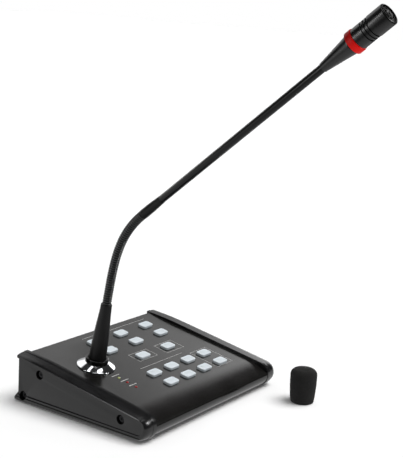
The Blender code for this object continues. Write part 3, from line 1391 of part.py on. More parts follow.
def make_head(arm, arm_start):
    """The barrel with its rear sleeve and sound grooves, and what it holds."""
    start = HEAD_START
    tip = start + HEAD_LENGTH
    bore = HEAD_RADIUS - HEAD_WALL
    narrow_bore = SLEEVE_RADIUS - SPIGOT_WALL
    grille_rear = face_plane() - GRILLE_THICKNESS
    mount_front = capsule_start() + CAPSULE_LENGTH
    mount_rear = mount_front - MOUNT_LENGTH
    groove_floor = HEAD_NECK_RADIUS - GROOVE_DEPTH
    sleeve_rear = LIGHT_RING_START - SLEEVE_DEPTH
    profile = [
        (narrow_bore, sleeve_rear),
        (SLEEVE_RADIUS, sleeve_rear),
        (SLEEVE_RADIUS, start),
        (HEAD_NECK_RADIUS, start),
    ]
    for index in range(GROOVE_COUNT):
        groove = start + GROOVE_START + index * 2 * GROOVE_WIDTH
        last = index == GROOVE_COUNT - 1
        far_radius = HEAD_RADIUS if last else HEAD_NECK_RADIUS
        profile += [
            (HEAD_NECK_RADIUS, groove),
            (groove_floor, groove),
            (groove_floor, groove + GROOVE_WIDTH),
            (far_radius, groove + GROOVE_WIDTH),
        ]
    profile += arc((HEAD_RADIUS - HEAD_EDGE, tip - HEAD_EDGE), HEAD_EDGE, 0.0, math.pi / 2, 3)
    profile += [
        (bore - SEAT_GAP, tip),
        (bore - SEAT_GAP, grille_rear - SEAT_GAP),
        (bore - HEAD_WALL, grille_rear - SEAT_GAP),
        (bore - HEAD_WALL, mount_rear - SEAT_GAP),
        (narrow_bore, mount_rear - SEAT_GAP),
    ]
    piece("head_barrel", turned(profile), "satin black metal", arm, arm_start)

    grille_radius = bore - 2 * SEAT_GAP
    face = face_plane()
    rim = grille_radius - GRILLE_SLOT_WIDTH / 2
    profile = [
        (0.0, grille_rear),
        (grille_radius, grille_rear),
        (grille_radius, face),
        (rim, face),
        (rim / 2, face + GRILLE_CROWN * 3 / 4),
        (0.0, face + GRILLE_CROWN),
    ]
    grille = piece("head_grille", turned(profile), "satin black metal", arm, arm_start)
    low = grille_rear - CUT_OVERRUN
    high = face + CUT_OVERRUN
    slots = [rod(GRILLE_CENTRE_RADIUS, low, high, LAMP_SIDES)]
    pitch = math.tau / GRILLE_SLOT_COUNT
    for index in range(GRILLE_SLOT_COUNT):
        begin = index * pitch
        end = begin + pitch * GRILLE_SLOT_SPAN_SHARE
        outer_radius = GRILLE_SLOT_INNER_RADIUS + GRILLE_SLOT_WIDTH
        outer = arc((0.0, 0.0), outer_radius, begin, end, GRILLE_SLOT_STEPS)
        inner = arc((0.0, 0.0), GRILLE_SLOT_INNER_RADIUS, end, begin, GRILLE_SLOT_STEPS)
        slots.append(loft([[(x, y, z) for x, y in outer + inner] for z in (low, high)]))
    cut(grille, joined(slots), "grille_slots")

    rear = capsule_start()
    profile = [
        (0.0, rear),
        (CAPSULE_RADIUS, rear),
        (CAPSULE_RADIUS, mount_front),
        (CAPSULE_FACE_RADIUS, mount_front),
        (CAPSULE_FACE_RADIUS, mount_front - CAPSULE_FACE_DEPTH),
        (0.0, mount_front - CAPSULE_FACE_DEPTH),
    ]
    piece("mic_capsule", turned(profile), "chrome", arm, arm_start)

    holder_radius = bore - HEAD_WALL - SEAT_GAP
    seat = CAPSULE_RADIUS + SEAT_GAP
    profile = [
        (MOUNT_LEAD_RADIUS, mount_rear),
        (holder_radius, mount_rear),
        (holder_radius, mount_front),
        (seat, mount_front),
        (seat, mount_rear + MOUNT_FLOOR),
        (MOUNT_LEAD_RADIUS, mount_rear + MOUNT_FLOOR),
    ]
    piece("capsule_holder", turned(profile), "black rubber", arm, arm_start)


def make_windscreen(base):
    """A turned foam cap: crowned sides, domed top and a blind bore that takes the head."""
    widest = SCREEN_HEIGHT * SCREEN_WIDEST_SHARE
    bore_top = SCREEN_BORE_DEPTH
    profile = [(0.0, bore_top)]
    bore_centre = (SCREEN_BORE_RADIUS - SCREEN_BORE_ROUND, bore_top - SCREEN_BORE_ROUND)
    profile += arc(bore_centre, SCREEN_BORE_ROUND, math.pi / 2, 0.0, 3)
    profile += [(SCREEN_BORE_RADIUS, 0.0), (SCREEN_MOUTH_RADIUS - SCREEN_MOUTH_ROUND, 0.0)]
    profile.append((SCREEN_MOUTH_RADIUS, SCREEN_MOUTH_ROUND))
    swell = SCREEN_RADIUS - SCREEN_MOUTH_RADIUS
    profile.append((SCREEN_MOUTH_RADIUS + swell * 3 / 4, widest / 2))
    profile.append((SCREEN_RADIUS, widest))
    crown_centre = (SCREEN_RADIUS - SCREEN_CROWN_RADIUS, SCREEN_HEIGHT - SCREEN_CROWN_RADIUS)
    crown = arc(crown_centre, SCREEN_CROWN_RADIUS, 0.0, math.pi / 2, SCREEN_CROWN_STEPS)
    dome_radius = SCREEN_RADIUS - SCREEN_CROWN_RADIUS
    profile += crown
    profile.append((dome_radius / 2, SCREEN_HEIGHT + SCREEN_DOME_RISE * 3 / 4))
    profile.append((0.0, SCREEN_HEIGHT + SCREEN_DOME_RISE))
    piece("foam_windscreen", turned(profile), "foam", base, (SCREEN_X, SCREEN_Y, 0.0))


def centre_over_origin(base):
    """Moves the base frame so that the whole object stands centred over the world's origin."""
    bpy.context.view_layer.update()
    graph = bpy.context.evaluated_depsgraph_get()
    corners = []
    for thing in bpy.data.objects:
        if thing.type == "MESH" and not thing.hide_render:
            shown = thing.evaluated_get(graph)
            mesh = shown.to_mesh()
            corners += [shown.matrix_world @ vertex.co for vertex in mesh.vertices]
            shown.to_mesh_clear()
    low = Vector([min(corner[axis] for corner in corners) for axis in range(3)])
    high = Vector([max(corner[axis] for corner in corners) for axis in range(3)])
    base.location = (-(low.x + high.x) / 2, -(low.y + high.y) / 2, -low.z)
    bpy.context.view_layer.update()


clear_scene()
base_frame = empty("base_frame")
panel_frame = empty("panel_frame", base_frame, (0.0, 0.0, PANEL_REAR_HEIGHT), PANEL_ANGLE)
neck_frame = empty("neck_frame", panel_frame, (-NECK_OFFSET, -NECK_START, 0.0))
flex_route = neck_route()
lean_at, bend_at = neck_stations(flex_route)[3:]
lean_hinge = hinge_frame("neck_lean_axis", base_frame, *station(flex_route, lean_at))
bend_point = station(flex_route, bend_at)[0]
arm_tilt = math.pi / 2 - ARM_ELEVATION
bend_hinge = empty("neck_bend_axis", base_frame, bend_point, arm_tilt)
bpy.context.view_layer.update()
arm_origin = bend_hinge.matrix_basis.inverted() @ flex_route[0][-1]

make_cover(base_frame, panel_frame)
make_tray(base_frame)
make_cheek("cheek_left", -1, base_frame)
make_cheek("cheek_right", 1, base_frame)
make_cheek_screws(base_frame)
make_cover_screws(base_frame)
make_feet(base_frame)
make_keys(panel_frame)
make_key_mat(panel_frame)
make_lamps(panel_frame)
make_key_board(panel_frame)
make_connector_board(base_frame)
make_jacks(base_frame)
make_ribbon(base_frame)
make_neck_seat(neck_frame)
make_flex(base_frame, lean_hinge, flex_route)
make_lead(base_frame, lean_hinge, bend_hinge, arm_origin, flex_route)
make_arm(bend_hinge, arm_origin)
make_light_ring(bend_hinge, arm_origin)
make_head(bend_hinge, arm_origin)
make_windscreen(base_frame)
centre_over_origin(base_frame)
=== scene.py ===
import math

import bmesh
import bpy
from mathutils import Matrix, Vector
from mathutils.geometry import interpolate_bezier


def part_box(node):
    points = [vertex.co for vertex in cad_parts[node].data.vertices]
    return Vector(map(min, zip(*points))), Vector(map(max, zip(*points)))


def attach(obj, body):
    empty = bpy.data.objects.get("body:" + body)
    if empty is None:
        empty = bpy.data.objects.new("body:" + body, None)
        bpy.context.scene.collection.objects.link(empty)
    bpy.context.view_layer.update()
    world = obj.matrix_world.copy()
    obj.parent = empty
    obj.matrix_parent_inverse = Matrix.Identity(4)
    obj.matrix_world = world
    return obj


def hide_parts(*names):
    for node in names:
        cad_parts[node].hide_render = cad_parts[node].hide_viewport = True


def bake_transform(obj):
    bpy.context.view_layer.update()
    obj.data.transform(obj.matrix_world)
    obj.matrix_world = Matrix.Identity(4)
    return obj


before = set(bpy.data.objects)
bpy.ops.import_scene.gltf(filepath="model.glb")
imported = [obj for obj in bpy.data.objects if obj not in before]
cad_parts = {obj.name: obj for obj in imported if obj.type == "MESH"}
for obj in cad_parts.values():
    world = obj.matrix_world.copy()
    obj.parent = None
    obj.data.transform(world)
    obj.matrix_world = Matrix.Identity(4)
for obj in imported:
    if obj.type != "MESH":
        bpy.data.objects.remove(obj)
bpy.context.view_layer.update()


# Camera: a long lens, low at the left front corner, on a head that leans a little,
# so that the side cheek shows its whole face and the arm runs up to the right.
camera_data = bpy.data.cameras.new("camera")
camera_data.sensor_width = 36.0
camera_data.lens = 86.0
camera_data.clip_end = 20.0
camera = bpy.data.objects.new("camera", camera_data)
bpy.context.scene.collection.objects.link(camera)
camera.matrix_world = Matrix((
    (0.582146, 0.142213, -0.800551, -0.7656),
    (-0.811196, 0.168651, -0.559927, -0.50036),
    (0.055385, 0.975363, 0.213542, 0.3681),
    (0.0, 0.0, 0.0, 1.0),
))
bpy.context.scene.camera = camera
bpy.context.scene.view_settings.view_transform = "Standard"


# Studio: a white table before a white backdrop, under a broad soft light that comes from above.
# Gloss sees white only low behind, in two bands overhead, at the far back, at the far right and on the table near
# the object. The rest of the room is dark to it, so that black paint and plastic stay black.
def join_sockets(tree, start, end):
    tree.links.new(start, end)


def worked(tree, operation, *values):
    """Works sockets and numbers together with Math nodes, from the left."""
    result = values[0]
    for value in values[1:]:
        node = tree.nodes.new("ShaderNodeMath")
        node.operation = operation
        for index, given in enumerate((result, value)):
            if isinstance(given, float):
                node.inputs[index].default_value = given
            else:
                join_sockets(tree, given, node.inputs[index])
        result = node.outputs[0]
    return result


def ramped(tree, value, low, high):
    """Rises smoothly from 0 to 1 as the value goes from low to high."""
    node = tree.nodes.new("ShaderNodeMapRange")
    node.interpolation_type = "SMOOTHSTEP"
    node.inputs["From Min"].default_value = low
    node.inputs["From Max"].default_value = high
    join_sockets(tree, value, node.inputs["Value"])
    return node.outputs["Result"]


def falling(tree, value, low, high):
    """Falls smoothly from 1 to 0 as the value goes from low to high."""
    return worked(tree, "SUBTRACT", 1.0, ramped(tree, value, low, high))


def shaded(tree, share, first, second):
    """A Mix node between two shades, each a socket or a colour."""
    node = tree.nodes.new("ShaderNodeMix")
    node.data_type = "RGBA"
    join_sockets(tree, share, node.inputs[0])
    for index, given in ((6, first), (7, second)):
        if isinstance(given, tuple):
            node.inputs[index].default_value = (*given, 1.0)
        else:
            join_sockets(tree, given, node.inputs[index])
    return node


def object_place(tree):
    """The shaded point in its object's own frame."""
    return tree.nodes.new("ShaderNodeTexCoord").outputs["Object"]


WHITE_LEVEL = 2.35
WHITE_DROP = 1.5
FAR_BACK_GAIN = 1.4
DARK_LEVEL = 0.03
SOFT_LEVEL = 0.3
TABLE_NEAR_LEVEL = 0.8
TABLE_GLOSS_LEVEL = 0.85
TABLE_LIFT = 0.02

world = bpy.data.worlds.new("studio")
bpy.context.scene.world = world
world.use_nodes = True
room = world.node_tree
room_path = room.nodes.new("ShaderNodeLightPath")
room_glossy = worked(room, "MAXIMUM", room_path.outputs["Is Glossy Ray"], room_path.outputs["Is Transmission Ray"])
room_ways = room.nodes.new("ShaderNodeSeparateXYZ")
join_sockets(room, room.nodes.new("ShaderNodeTexCoord").outputs["Generated"], room_ways.inputs[0])
rightward, backward, upward = (room_ways.outputs[axis] for axis in "XYZ")
behind = worked(room, "MULTIPLY", ramped(room, backward, 0.16, 0.25), ramped(room, rightward, 0.1, 0.4))
dimmer_low = worked(room, "MULTIPLY", falling(room, upward, 0.3, 0.45), 0.5)
level = worked(room, "SUBTRACT", falling(room, upward, 0.48, 0.6), dimmer_low)
from_gap = worked(room, "ABSOLUTE", worked(room, "ADD", backward, 0.065), 0.0)
bands = worked(room, "SUBTRACT", ramped(room, from_gap, 0.13, 0.16), ramped(room, from_gap, 0.25, 0.28))
overhead = worked(room, "MULTIPLY", bands, ramped(room, upward, 0.86, 0.89))
far_back = worked(
    room, "MULTIPLY", ramped(room, backward, 0.5, 0.58), FAR_BACK_GAIN, ramped(room, rightward, -0.1, 0.05),
    falling(room, upward, 0.78, 0.86), falling(room, rightward, 0.45, 0.6),
)
far_right = worked(
    room, "MULTIPLY", ramped(room, rightward, 0.88, 0.91), ramped(room, backward, -0.05, 0.05),
    ramped(room, upward, -0.05, 0.05),
)
white_parts = worked(room, "MAXIMUM", worked(room, "MULTIPLY", behind, level), overhead, far_back, far_right)
dimmer_back = worked(room, "MULTIPLY", ramped(room, backward, 0.28, 0.5), WHITE_DROP)
white_level = worked(room, "SUBTRACT", WHITE_LEVEL, dimmer_back)
gloss_level = worked(room, "ADD", worked(room, "MULTIPLY", white_parts, white_level), DARK_LEVEL)
room_level = worked(room, "MULTIPLY", room_glossy, worked(room, "SUBTRACT", gloss_level, SOFT_LEVEL))
room_level = worked(room, "ADD", room_level, SOFT_LEVEL)
white_seen = worked(room, "MAXIMUM", room_level, room_path.outputs["Is Camera Ray"])
room.nodes["Background"].inputs["Color"].default_value = (1.0, 1.0, 1.0, 1.0)
join_sockets(room, white_seen, room.nodes["Background"].inputs["Strength"])

table_paint = bpy.data.materials.new("white_table")
table_paint.use_nodes = True
table_tree = table_paint.node_tree
table_coat = table_tree.nodes["Principled BSDF"]
table_coat.inputs["Roughness"].default_value = 0.9
table_coat.inputs["Specular IOR Level"].default_value = 0.1
table_coat.inputs["Emission Color"].default_value = (1.0, 1.0, 1.0, 1.0)
table_path = table_tree.nodes.new("ShaderNodeLightPath")
table_where = object_place(table_tree)
table_ways = table_tree.nodes.new("ShaderNodeSeparateXYZ")
join_sockets(table_tree, table_where, table_ways.inputs[0])
table_behind = ramped(table_tree, table_ways.outputs["Y"], -0.2, 0.4)
table_reach = table_tree.nodes.new("ShaderNodeVectorMath")
table_reach.operation = "LENGTH"
join_sockets(table_tree, table_where, table_reach.inputs[0])
table_close = falling(table_tree, table_reach.outputs["Value"], 0.3, 0.6)
table_near = worked(table_tree, "MULTIPLY", table_close, TABLE_NEAR_LEVEL)
table_white = worked(table_tree, "MAXIMUM", table_behind, table_near)
table_gloss = worked(table_tree, "MULTIPLY", table_path.outputs["Is Glossy Ray"], table_white, TABLE_GLOSS_LEVEL)
table_seen = worked(
    table_tree, "MAXIMUM", table_path.outputs["Is Camera Ray"], table_path.outputs["Is Transmission Ray"]
)
table_lift = worked(table_tree, "ADD", table_gloss, worked(table_tree, "MULTIPLY", table_seen, TABLE_LIFT))
join_sockets(table_tree, table_lift, table_coat.inputs["Emission Strength"])
table_shade = shaded(table_tree, table_seen, (0.5, 0.51, 0.52), (0.96, 0.96, 0.96))
table_gloss_shade = shaded(
    table_tree, table_path.outputs["Is Glossy Ray"], table_shade.outputs[2], (0.12, 0.12, 0.12)
)
join_sockets(table_tree, table_gloss_shade.outputs[2], table_coat.inputs["Base Color"])
table_shape = bmesh.new()
bmesh.ops.create_grid(table_shape, x_segments=1, y_segments=1, size=9.0)
table_mesh = bpy.data.meshes.new("table_top")
table_shape.to_mesh(table_mesh)
table_shape.free()
table_mesh.materials.append(table_paint)
table = bpy.data.objects.new("table_top", table_mesh)
bpy.context.scene.collection.objects.link(table)

sky_data = bpy.data.lights.new("soft_ceiling", "SUN")
sky_data.energy = 2.7
sky_data.angle = math.radians(42)
sky = bpy.data.objects.new("soft_ceiling", sky_data)
sky.rotation_euler = Vector((-0.3, 0.34, -1.0)).to_track_quat("-Z", "Y").to_euler()
sky.visible_glossy = False
bpy.context.scene.collection.objects.link(sky)


def strip_light(name, place, aim, width, height, power):
    """A slim softbox for the bright lines on gloss."""
    lamp_data = bpy.data.lights.new(name, "AREA")
    lamp_data.shape = "RECTANGLE"
    lamp_data.size = width
    lamp_data.size_y = height
    lamp_data.energy = power
    lamp = bpy.data.objects.new(name, lamp_data)
    lamp.location = place
    lamp.rotation_euler = (Vector(aim) - Vector(place)).to_track_quat("-Z", "Y").to_euler()
    lamp.visible_diffuse = False
    bpy.context.scene.collection.objects.link(lamp)


strip_light("left_strip", (-1.15, 0.5, 0.42), (0.0, -0.1, 0.25), 0.2, 0.7, 3.0)
strip_light("front_strip", (0.57, -0.95, 0.78), (-0.09, -0.15, 0.02), 0.3, 0.3, 6.0)


# Top cover: one bent steel sheet, 1.5 mm thick, powder coated in a fine dark grey grain.
# It falls in a slow curve to a roll over the front edge; its windows are punched for keys, lamps and neck.
MERGE = 0.000001
SHARP = math.radians(35)
BASE_REAR_Y = 0.15584
PANEL = Matrix.Translation((0.0, BASE_REAR_Y, 0.043621)) @ Matrix.Rotation(math.radians(9.2), 4, "X")
PANEL_LENGTH = 0.1413
CURVE_START = 0.123
CURVE_CUTS = 10
ROLL_RADIUS = 0.0092
FALL_CURVE = 6.83
FALL_AT_ROLL = 0.00229
ROLL_FALL_SLOPE = 0.25
ROLL_FALL_RETURN = 54.2
CLOUD_SCALE = 45.0
CLOUD_SHARE = 0.4
NOISE_LOW = 0.3
NOISE_HIGH = 0.7


def noisy(tree, where, name, scale, detail):
    node = tree.nodes.new("ShaderNodeTexNoise")
    node.name = name
    node.inputs["Scale"].default_value = scale
    node.inputs["Detail"].default_value = detail
    join_sockets(tree, where, node.inputs["Vector"])
    return node.outputs["Fac"]


def spread_out(tree, noise, least, most):
    """Spreads a noise, which keeps to its middle values, over a range."""
    node = tree.nodes.new("ShaderNodeMapRange")
    for name, value in zip(("From Min", "From Max", "To Min", "To Max"), (NOISE_LOW, NOISE_HIGH, least, most)):
        node.inputs[name].default_value = value
    join_sockets(tree, noise, node.inputs["Value"])
    return node.outputs["Result"]


def grained(name, dark, light, grain, relief, roughness, metallic=0.0, gloss=0.5):
    """A surface in two close shades mixed by a fine grain, with relief and a roughness that follow it."""
    made = bpy.data.materials.new(name)
    made.use_nodes = True
    tree = made.node_tree
    shader = tree.nodes["Principled BSDF"]
    shader.inputs["Metallic"].default_value = metallic
    shader.inputs["Specular IOR Level"].default_value = gloss
    where = object_place(tree)
    fine = noisy(tree, where, "fine grain", 1 / grain, 3.0)
    cloud = noisy(tree, where, "slow cloud", CLOUD_SCALE, 2.0)
    blend = tree.nodes.new("ShaderNodeMix")
    blend.data_type = "FLOAT"
    blend.inputs[0].default_value = CLOUD_SHARE
    join_sockets(tree, fine, blend.inputs[2])
    join_sockets(tree, cloud, blend.inputs[3])
    shades = shaded(tree, spread_out(tree, blend.outputs[0], 0.0, 1.0), dark, light)
    shades.name = "shades"
    bump = tree.nodes.new("ShaderNodeBump")
    bump.name = "relief"
    bump.inputs["Distance"].default_value = relief
    join_sockets(tree, fine, bump.inputs["Height"])
    join_sockets(tree, shades.outputs[2], shader.inputs["Base Color"])
    join_sockets(tree, spread_out(tree, cloud, *roughness), shader.inputs["Roughness"])
    join_sockets(tree, bump.outputs["Normal"], shader.inputs["Normal"])
    return made


def fitted(name, shape, looks, body, *nodes):
    """Makes a shape a piece that rides on a body and stands for the solids named."""
    mesh = bpy.data.meshes.new(name)
    shape.to_mesh(mesh)
    shape.free()
    mesh.shade_smooth()
    mesh.set_sharp_from_angle(angle=SHARP)
    mesh.materials.append(looks)
    thing = bpy.data.objects.new(name, mesh)
    bpy.context.scene.collection.objects.link(thing)
    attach(thing, body)
    if nodes:
        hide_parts(*nodes)
    return thing


def eased(thing, width, steps=2):
    """Rounds the sharp edges of a piece."""
    bevel = thing.modifiers.new("eased edges", "BEVEL")
    bevel.width = width
    bevel.segments = steps
    bevel.limit_method = "ANGLE"
    bevel.angle_limit = SHARP
    bevel.harden_normals = True


def merged_copy(node):
    """The solid's triangles, merged, with flat faces made whole again."""
    shape = bmesh.new()
    shape.from_mesh(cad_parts[node].data)
    bmesh.ops.remove_doubles(shape, verts=shape.verts, dist=MERGE)
    for layer in list(shape.loops.layers.float_vector):
        shape.loops.layers.float_vector.remove(layer)
    bmesh.ops.dissolve_limit(shape, angle_limit=math.radians(0.2), verts=shape.verts, edges=shape.edges)
    return shape


cover_paint = grained(
    "cover_powder_coat", (0.006, 0.0058, 0.0054), (0.0105, 0.0101, 0.0095), 0.00045, 0.000012, (0.17, 0.21)
)


def fallen(start):
    """How far the sheet lies under the panel's plane, at a distance down the panel from the rear edge."""
    if start < PANEL_LENGTH:
        return FALL_CURVE * max(start - CURVE_START, 0.0) ** 2
    past = start - PANEL_LENGTH
    return max(FALL_AT_ROLL + ROLL_FALL_SLOPE * past - ROLL_FALL_RETURN * past ** 2, 0.0)


cover = merged_copy("top_cover")
for cut in range(CURVE_CUTS):
    start = CURVE_START + (PANEL_LENGTH - CURVE_START) * cut / CURVE_CUTS
    bmesh.ops.bisect_plane(
        cover, geom=cover.verts[:] + cover.edges[:] + cover.faces[:], dist=MERGE,
        plane_co=PANEL @ Vector((0.0, -start, 0.0)), plane_no=PANEL.to_3x3() @ Vector((0.0, 1.0, 0.0)),
    )
for vert in cover.verts:
    spot = PANEL.inverted() @ vert.co
    if spot.z > -ROLL_RADIUS:
        vert.co = PANEL @ (spot - Vector((0.0, 0.0, fallen(-spot.y))))
eased(fitted("cover_sheet", cover, cover_paint, "base", "top_cover"), 0.00015)


# Printed lines: pale grey ink, screened on the panel round the call keys and along each group of keys.
# They lie in the frame of the panel, whose slope is 9.2 degrees from the rear edge down.
INK_WIDTH = 0.00042
INK_RISE = 0.00003
INK_BED = 0.0003

print_ink = grained("pale_ink", (0.42, 0.42, 0.41), (0.52, 0.52, 0.51), 0.0003, 0.00001, (0.5, 0.6))
print_shape = bmesh.new()


def ink_line(left, right, upper, lower):
    """A printed bar between two distances across and two down the panel."""
    size = (right - left, lower - upper, INK_RISE + INK_BED)
    centre = ((left + right) / 2, -(upper + lower) / 2, (INK_RISE - INK_BED) / 2)
    placing = PANEL @ Matrix.Translation(centre) @ Matrix.Diagonal((*size, 1.0))
    bmesh.ops.create_cube(print_shape, size=1.0, matrix=placing)


def ink_frame(left, right, upper, lower):
    ink_line(left, right, upper, upper + INK_WIDTH)
    ink_line(left, right, lower - INK_WIDTH, lower)
    ink_line(left, left + INK_WIDTH, upper + INK_WIDTH, lower - INK_WIDTH)
    ink_line(right - INK_WIDTH, right, upper + INK_WIDTH, lower - INK_WIDTH)


ink_line(-0.0247, 0.0678, 0.009, 0.009 + INK_WIDTH)
ink_line(-0.0247, 0.0383, 0.0802, 0.0802 + INK_WIDTH)
ink_frame(-0.0125, 0.0134, 0.0558, 0.0705)
ink_frame(0.0254, 0.0513, 0.0558, 0.073)
ink_frame(0.0444, 0.0688, 0.0852, 0.1188)
for upper in (0.0761, 0.0868, 0.0964):
    ink_line(-0.0598, -0.0496, upper - INK_WIDTH / 2, upper + INK_WIDTH * 1.5)
fitted("panel_print", print_shape, print_ink, "base")


# Base tray: folded steel, 1.2 mm thick, in the cover's paint, with pressed nuts inside its walls.
# It closes the base from below and behind, and its rear wall has the window for the two jacks.
tray_paint = grained("tray_powder_coat", (0.01, 0.0096, 0.009), (0.017, 0.0165, 0.0155), 0.0005, 0.00004, (0.36, 0.46))
eased(fitted("tray_sheet", merged_copy("base_tray"), tray_paint, "base", "base_tray"), 0.00012, 1)


# Side cheeks: moulded in black plastic with a satin spark-eroded grain, one for each end of the base.
# A flat bead lies along the panel, then the rim rounds over to a sunk field that holds three screws.
cheek_plastic = grained("cheek_plastic", (0.006, 0.006, 0.0063), (0.011, 0.011, 0.0115), 0.00035, 0.000015, (0.2, 0.26))
for side in ("left", "right"):
    node = "cheek_" + side
    eased(fitted("moulded_" + node, merged_copy(node), cheek_plastic, "base", node), 0.0003, 3)


# Screws: black oxide M3 socket screws deep in the cheeks, two countersunk ones through the rear fold,
# and two zinc plated ones that hold the key board to the cover's studs.
screw_black = grained("black_oxide", (0.012, 0.012, 0.013), (0.03, 0.03, 0.032), 0.0003, 0.00001, (0.3, 0.5), 0.7)
screw_zinc = grained("zinc_plate", (0.42, 0.43, 0.42), (0.6, 0.61, 0.6), 0.0004, 0.00001, (0.25, 0.4), 1.0)

SCREW_HEAD_RADIUS = 0.003
SCREW_HEAD_HEIGHT = 0.002
SOCKET_RADIUS = 0.0013


def spun(profile, place, sides):
    """Turns (radius, height) points about the axis of a place; one that starts off the axis closes on itself."""
    shape = bmesh.new()
    points = [shape.verts.new((radius, 0.0, height)) for radius, height in profile]
    edges = [shape.edges.new(pair) for pair in zip(points, points[1:])]
    if profile[0][0] > 0.0:
        edges.append(shape.edges.new((points[-1], points[0])))
    bmesh.ops.spin(
        shape, geom=points + edges, cent=(0.0, 0.0, 0.0), axis=(0.0, 0.0, 1.0),
        angle=math.tau, steps=sides, use_merge=True, use_duplicate=False,
    )
    bmesh.ops.remove_doubles(shape, verts=shape.verts, dist=MERGE)
    bmesh.ops.recalc_face_normals(shape, faces=shape.faces)
    bmesh.ops.transform(shape, matrix=place, verts=shape.verts)
    return shape


def socket_screw(name, node, place, length):
    """A screw with its head's underside at the place's zero; the socket is a six-sided well in its face."""
    turned_head = spun(
        [
            (0.0, -length), (0.0011, -length), (0.0015, -length + 0.0004), (0.0015, 0.0),
            (SCREW_HEAD_RADIUS - 0.0002, 0.0), (SCREW_HEAD_RADIUS, 0.0002),
            (SCREW_HEAD_RADIUS, SCREW_HEAD_HEIGHT - 0.0003), (SCREW_HEAD_RADIUS - 0.0003, SCREW_HEAD_HEIGHT),
            (0.0014, SCREW_HEAD_HEIGHT), (SOCKET_RADIUS, SCREW_HEAD_HEIGHT - 0.0001),
            (SOCKET_RADIUS, SCREW_HEAD_HEIGHT - 0.0011), (0.0, SCREW_HEAD_HEIGHT - 0.0014),
        ],
        Matrix.Identity(4), 36,
    )
    for vert in turned_head.verts:
        if 0.0012 < vert.co.xy.length < 0.00135:
            turn = math.atan2(vert.co.y, vert.co.x) % (math.pi / 3) - math.pi / 6
            narrower = math.cos(math.pi / 6) / math.cos(turn)
            vert.co = (vert.co.x * narrower, vert.co.y * narrower, vert.co.z)
    bmesh.ops.transform(turned_head, matrix=place, verts=turned_head.verts)
    fitted(name, turned_head, screw_black, "base", node)


for side, facing in (("left", -1), ("right", 1)):
    for index in range(3):
        which = f"{side}_{index + 1}"
        low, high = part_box("cheek_screw_" + which)
        middle = (low + high) / 2
        seat = high.x - SCREW_HEAD_HEIGHT if facing > 0 else low.x + SCREW_HEAD_HEIGHT
        place = Matrix.Translation((seat, middle.y, middle.z)) @ Matrix.Rotation(facing * math.pi / 2, 4, "Y")
        socket_screw("socket_screw_" + which, "cheek_screw_" + which, place, high.x - low.x - SCREW_HEAD_HEIGHT)
for side in ("left", "right"):
    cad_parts["cover_screw_" + side].data.materials[0] = screw_black
    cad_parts["board_screw_" + side].data.materials[0] = screw_zinc


# Feet: two long strips of black rubber under the tray, dull from dust and handling.
# They carry the base a few tenths of a millimetre clear of the cheeks.
foot_rubber = grained("foot_rubber", (0.017, 0.017, 0.017), (0.03, 0.03, 0.029), 0.0007, 0.00004, (0.72, 0.88))
for node in ("foot_front", "foot_rear"):
    eased(fitted("rubber_" + node, merged_copy(node), foot_rubber, "base", node), 0.0004, 3)


# Keys: sixteen caps moulded in pale blue-grey plastic, each with a softly dished top and rounded edges.
# A flange holds each cap under the panel, and its stem stands on a dome of the key mat.
key_plastic = grained("key_plastic", (0.6, 0.655, 0.69), (0.68, 0.735, 0.77), 0.0004, 0.000015, (0.38, 0.48))
KEY_WIDTH = 0.0145
KEY_LENGTH = 0.0093
KEY_TOP = 0.0021
KEY_SHOULDER = -0.0018
KEY_STEM_END = -0.0069
KEYS_X = 0.0175
WIDE_COLUMN = 0.0381
CLOSE_COLUMN = 0.0254
REAR_ROWS = (0.0208, 0.0402)
CALL_ROW = 0.0642
FRONT_ROWS = (0.0935, 0.1129)


def lit_inside(made, weight, reach):
    """Lets light travel a little way inside a pale material."""
    shader = made.node_tree.nodes["Principled BSDF"]
    shader.inputs["Subsurface Weight"].default_value = weight
    shader.inputs["Subsurface Radius"].default_value = (reach, reach, reach)


lit_inside(key_plastic, 0.08, 0.002)


def rounded_block(shape, width, length, bottom, top, corner, steps):
    """A block with its four upright edges rounded, added to a shape."""
    placing = Matrix.Translation((0.0, 0.0, (bottom + top) / 2)) @ Matrix.Diagonal((width, length, top - bottom, 1.0))
    verts = bmesh.ops.create_cube(shape, size=1.0, matrix=placing)["verts"]
    edges = {edge for vert in verts for edge in vert.link_edges}
    upright = {edge for edge in edges if abs(edge.verts[0].co.z - edge.verts[1].co.z) > MERGE}
    bmesh.ops.bevel(
        shape, geom=list(upright), offset=corner, offset_type="OFFSET", affect="EDGES",
        segments=steps, profile=0.5, material=-1, clamp_overlap=True,
    )


def key_cap(name, x, start):
    shape = bmesh.new()
    rounded_block(shape, KEY_WIDTH, KEY_LENGTH, KEY_SHOULDER, KEY_TOP, 0.0024, 5)
    lid = [face for face in shape.faces if face.normal.z > 0.9]
    bmesh.ops.bevel(
        shape, geom=[edge for face in lid for edge in face.edges], offset=0.00065, offset_type="OFFSET",
        affect="EDGES", segments=4, profile=0.5, material=-1, clamp_overlap=True,
    )
    lid = [max(shape.faces, key=lambda face: face.calc_center_median().z + face.calc_area())]
    bmesh.ops.inset_individual(shape, faces=lid, thickness=0.0011, depth=-0.00006)
    bmesh.ops.inset_individual(shape, faces=lid, thickness=0.0013, depth=-0.00007)
    rounded_block(shape, KEY_WIDTH + 0.0016, KEY_LENGTH + 0.0016, KEY_SHOULDER - 0.001, KEY_SHOULDER, 0.0032, 4)
    rounded_block(shape, 0.0032, 0.0032, KEY_STEM_END, KEY_SHOULDER - 0.0005, 0.001, 3)
    bmesh.ops.transform(shape, matrix=PANEL @ Matrix.Translation((x, -start, 0.0)), verts=shape.verts)
    fitted("cap_" + name, shape, key_plastic, name + "_cap", name)


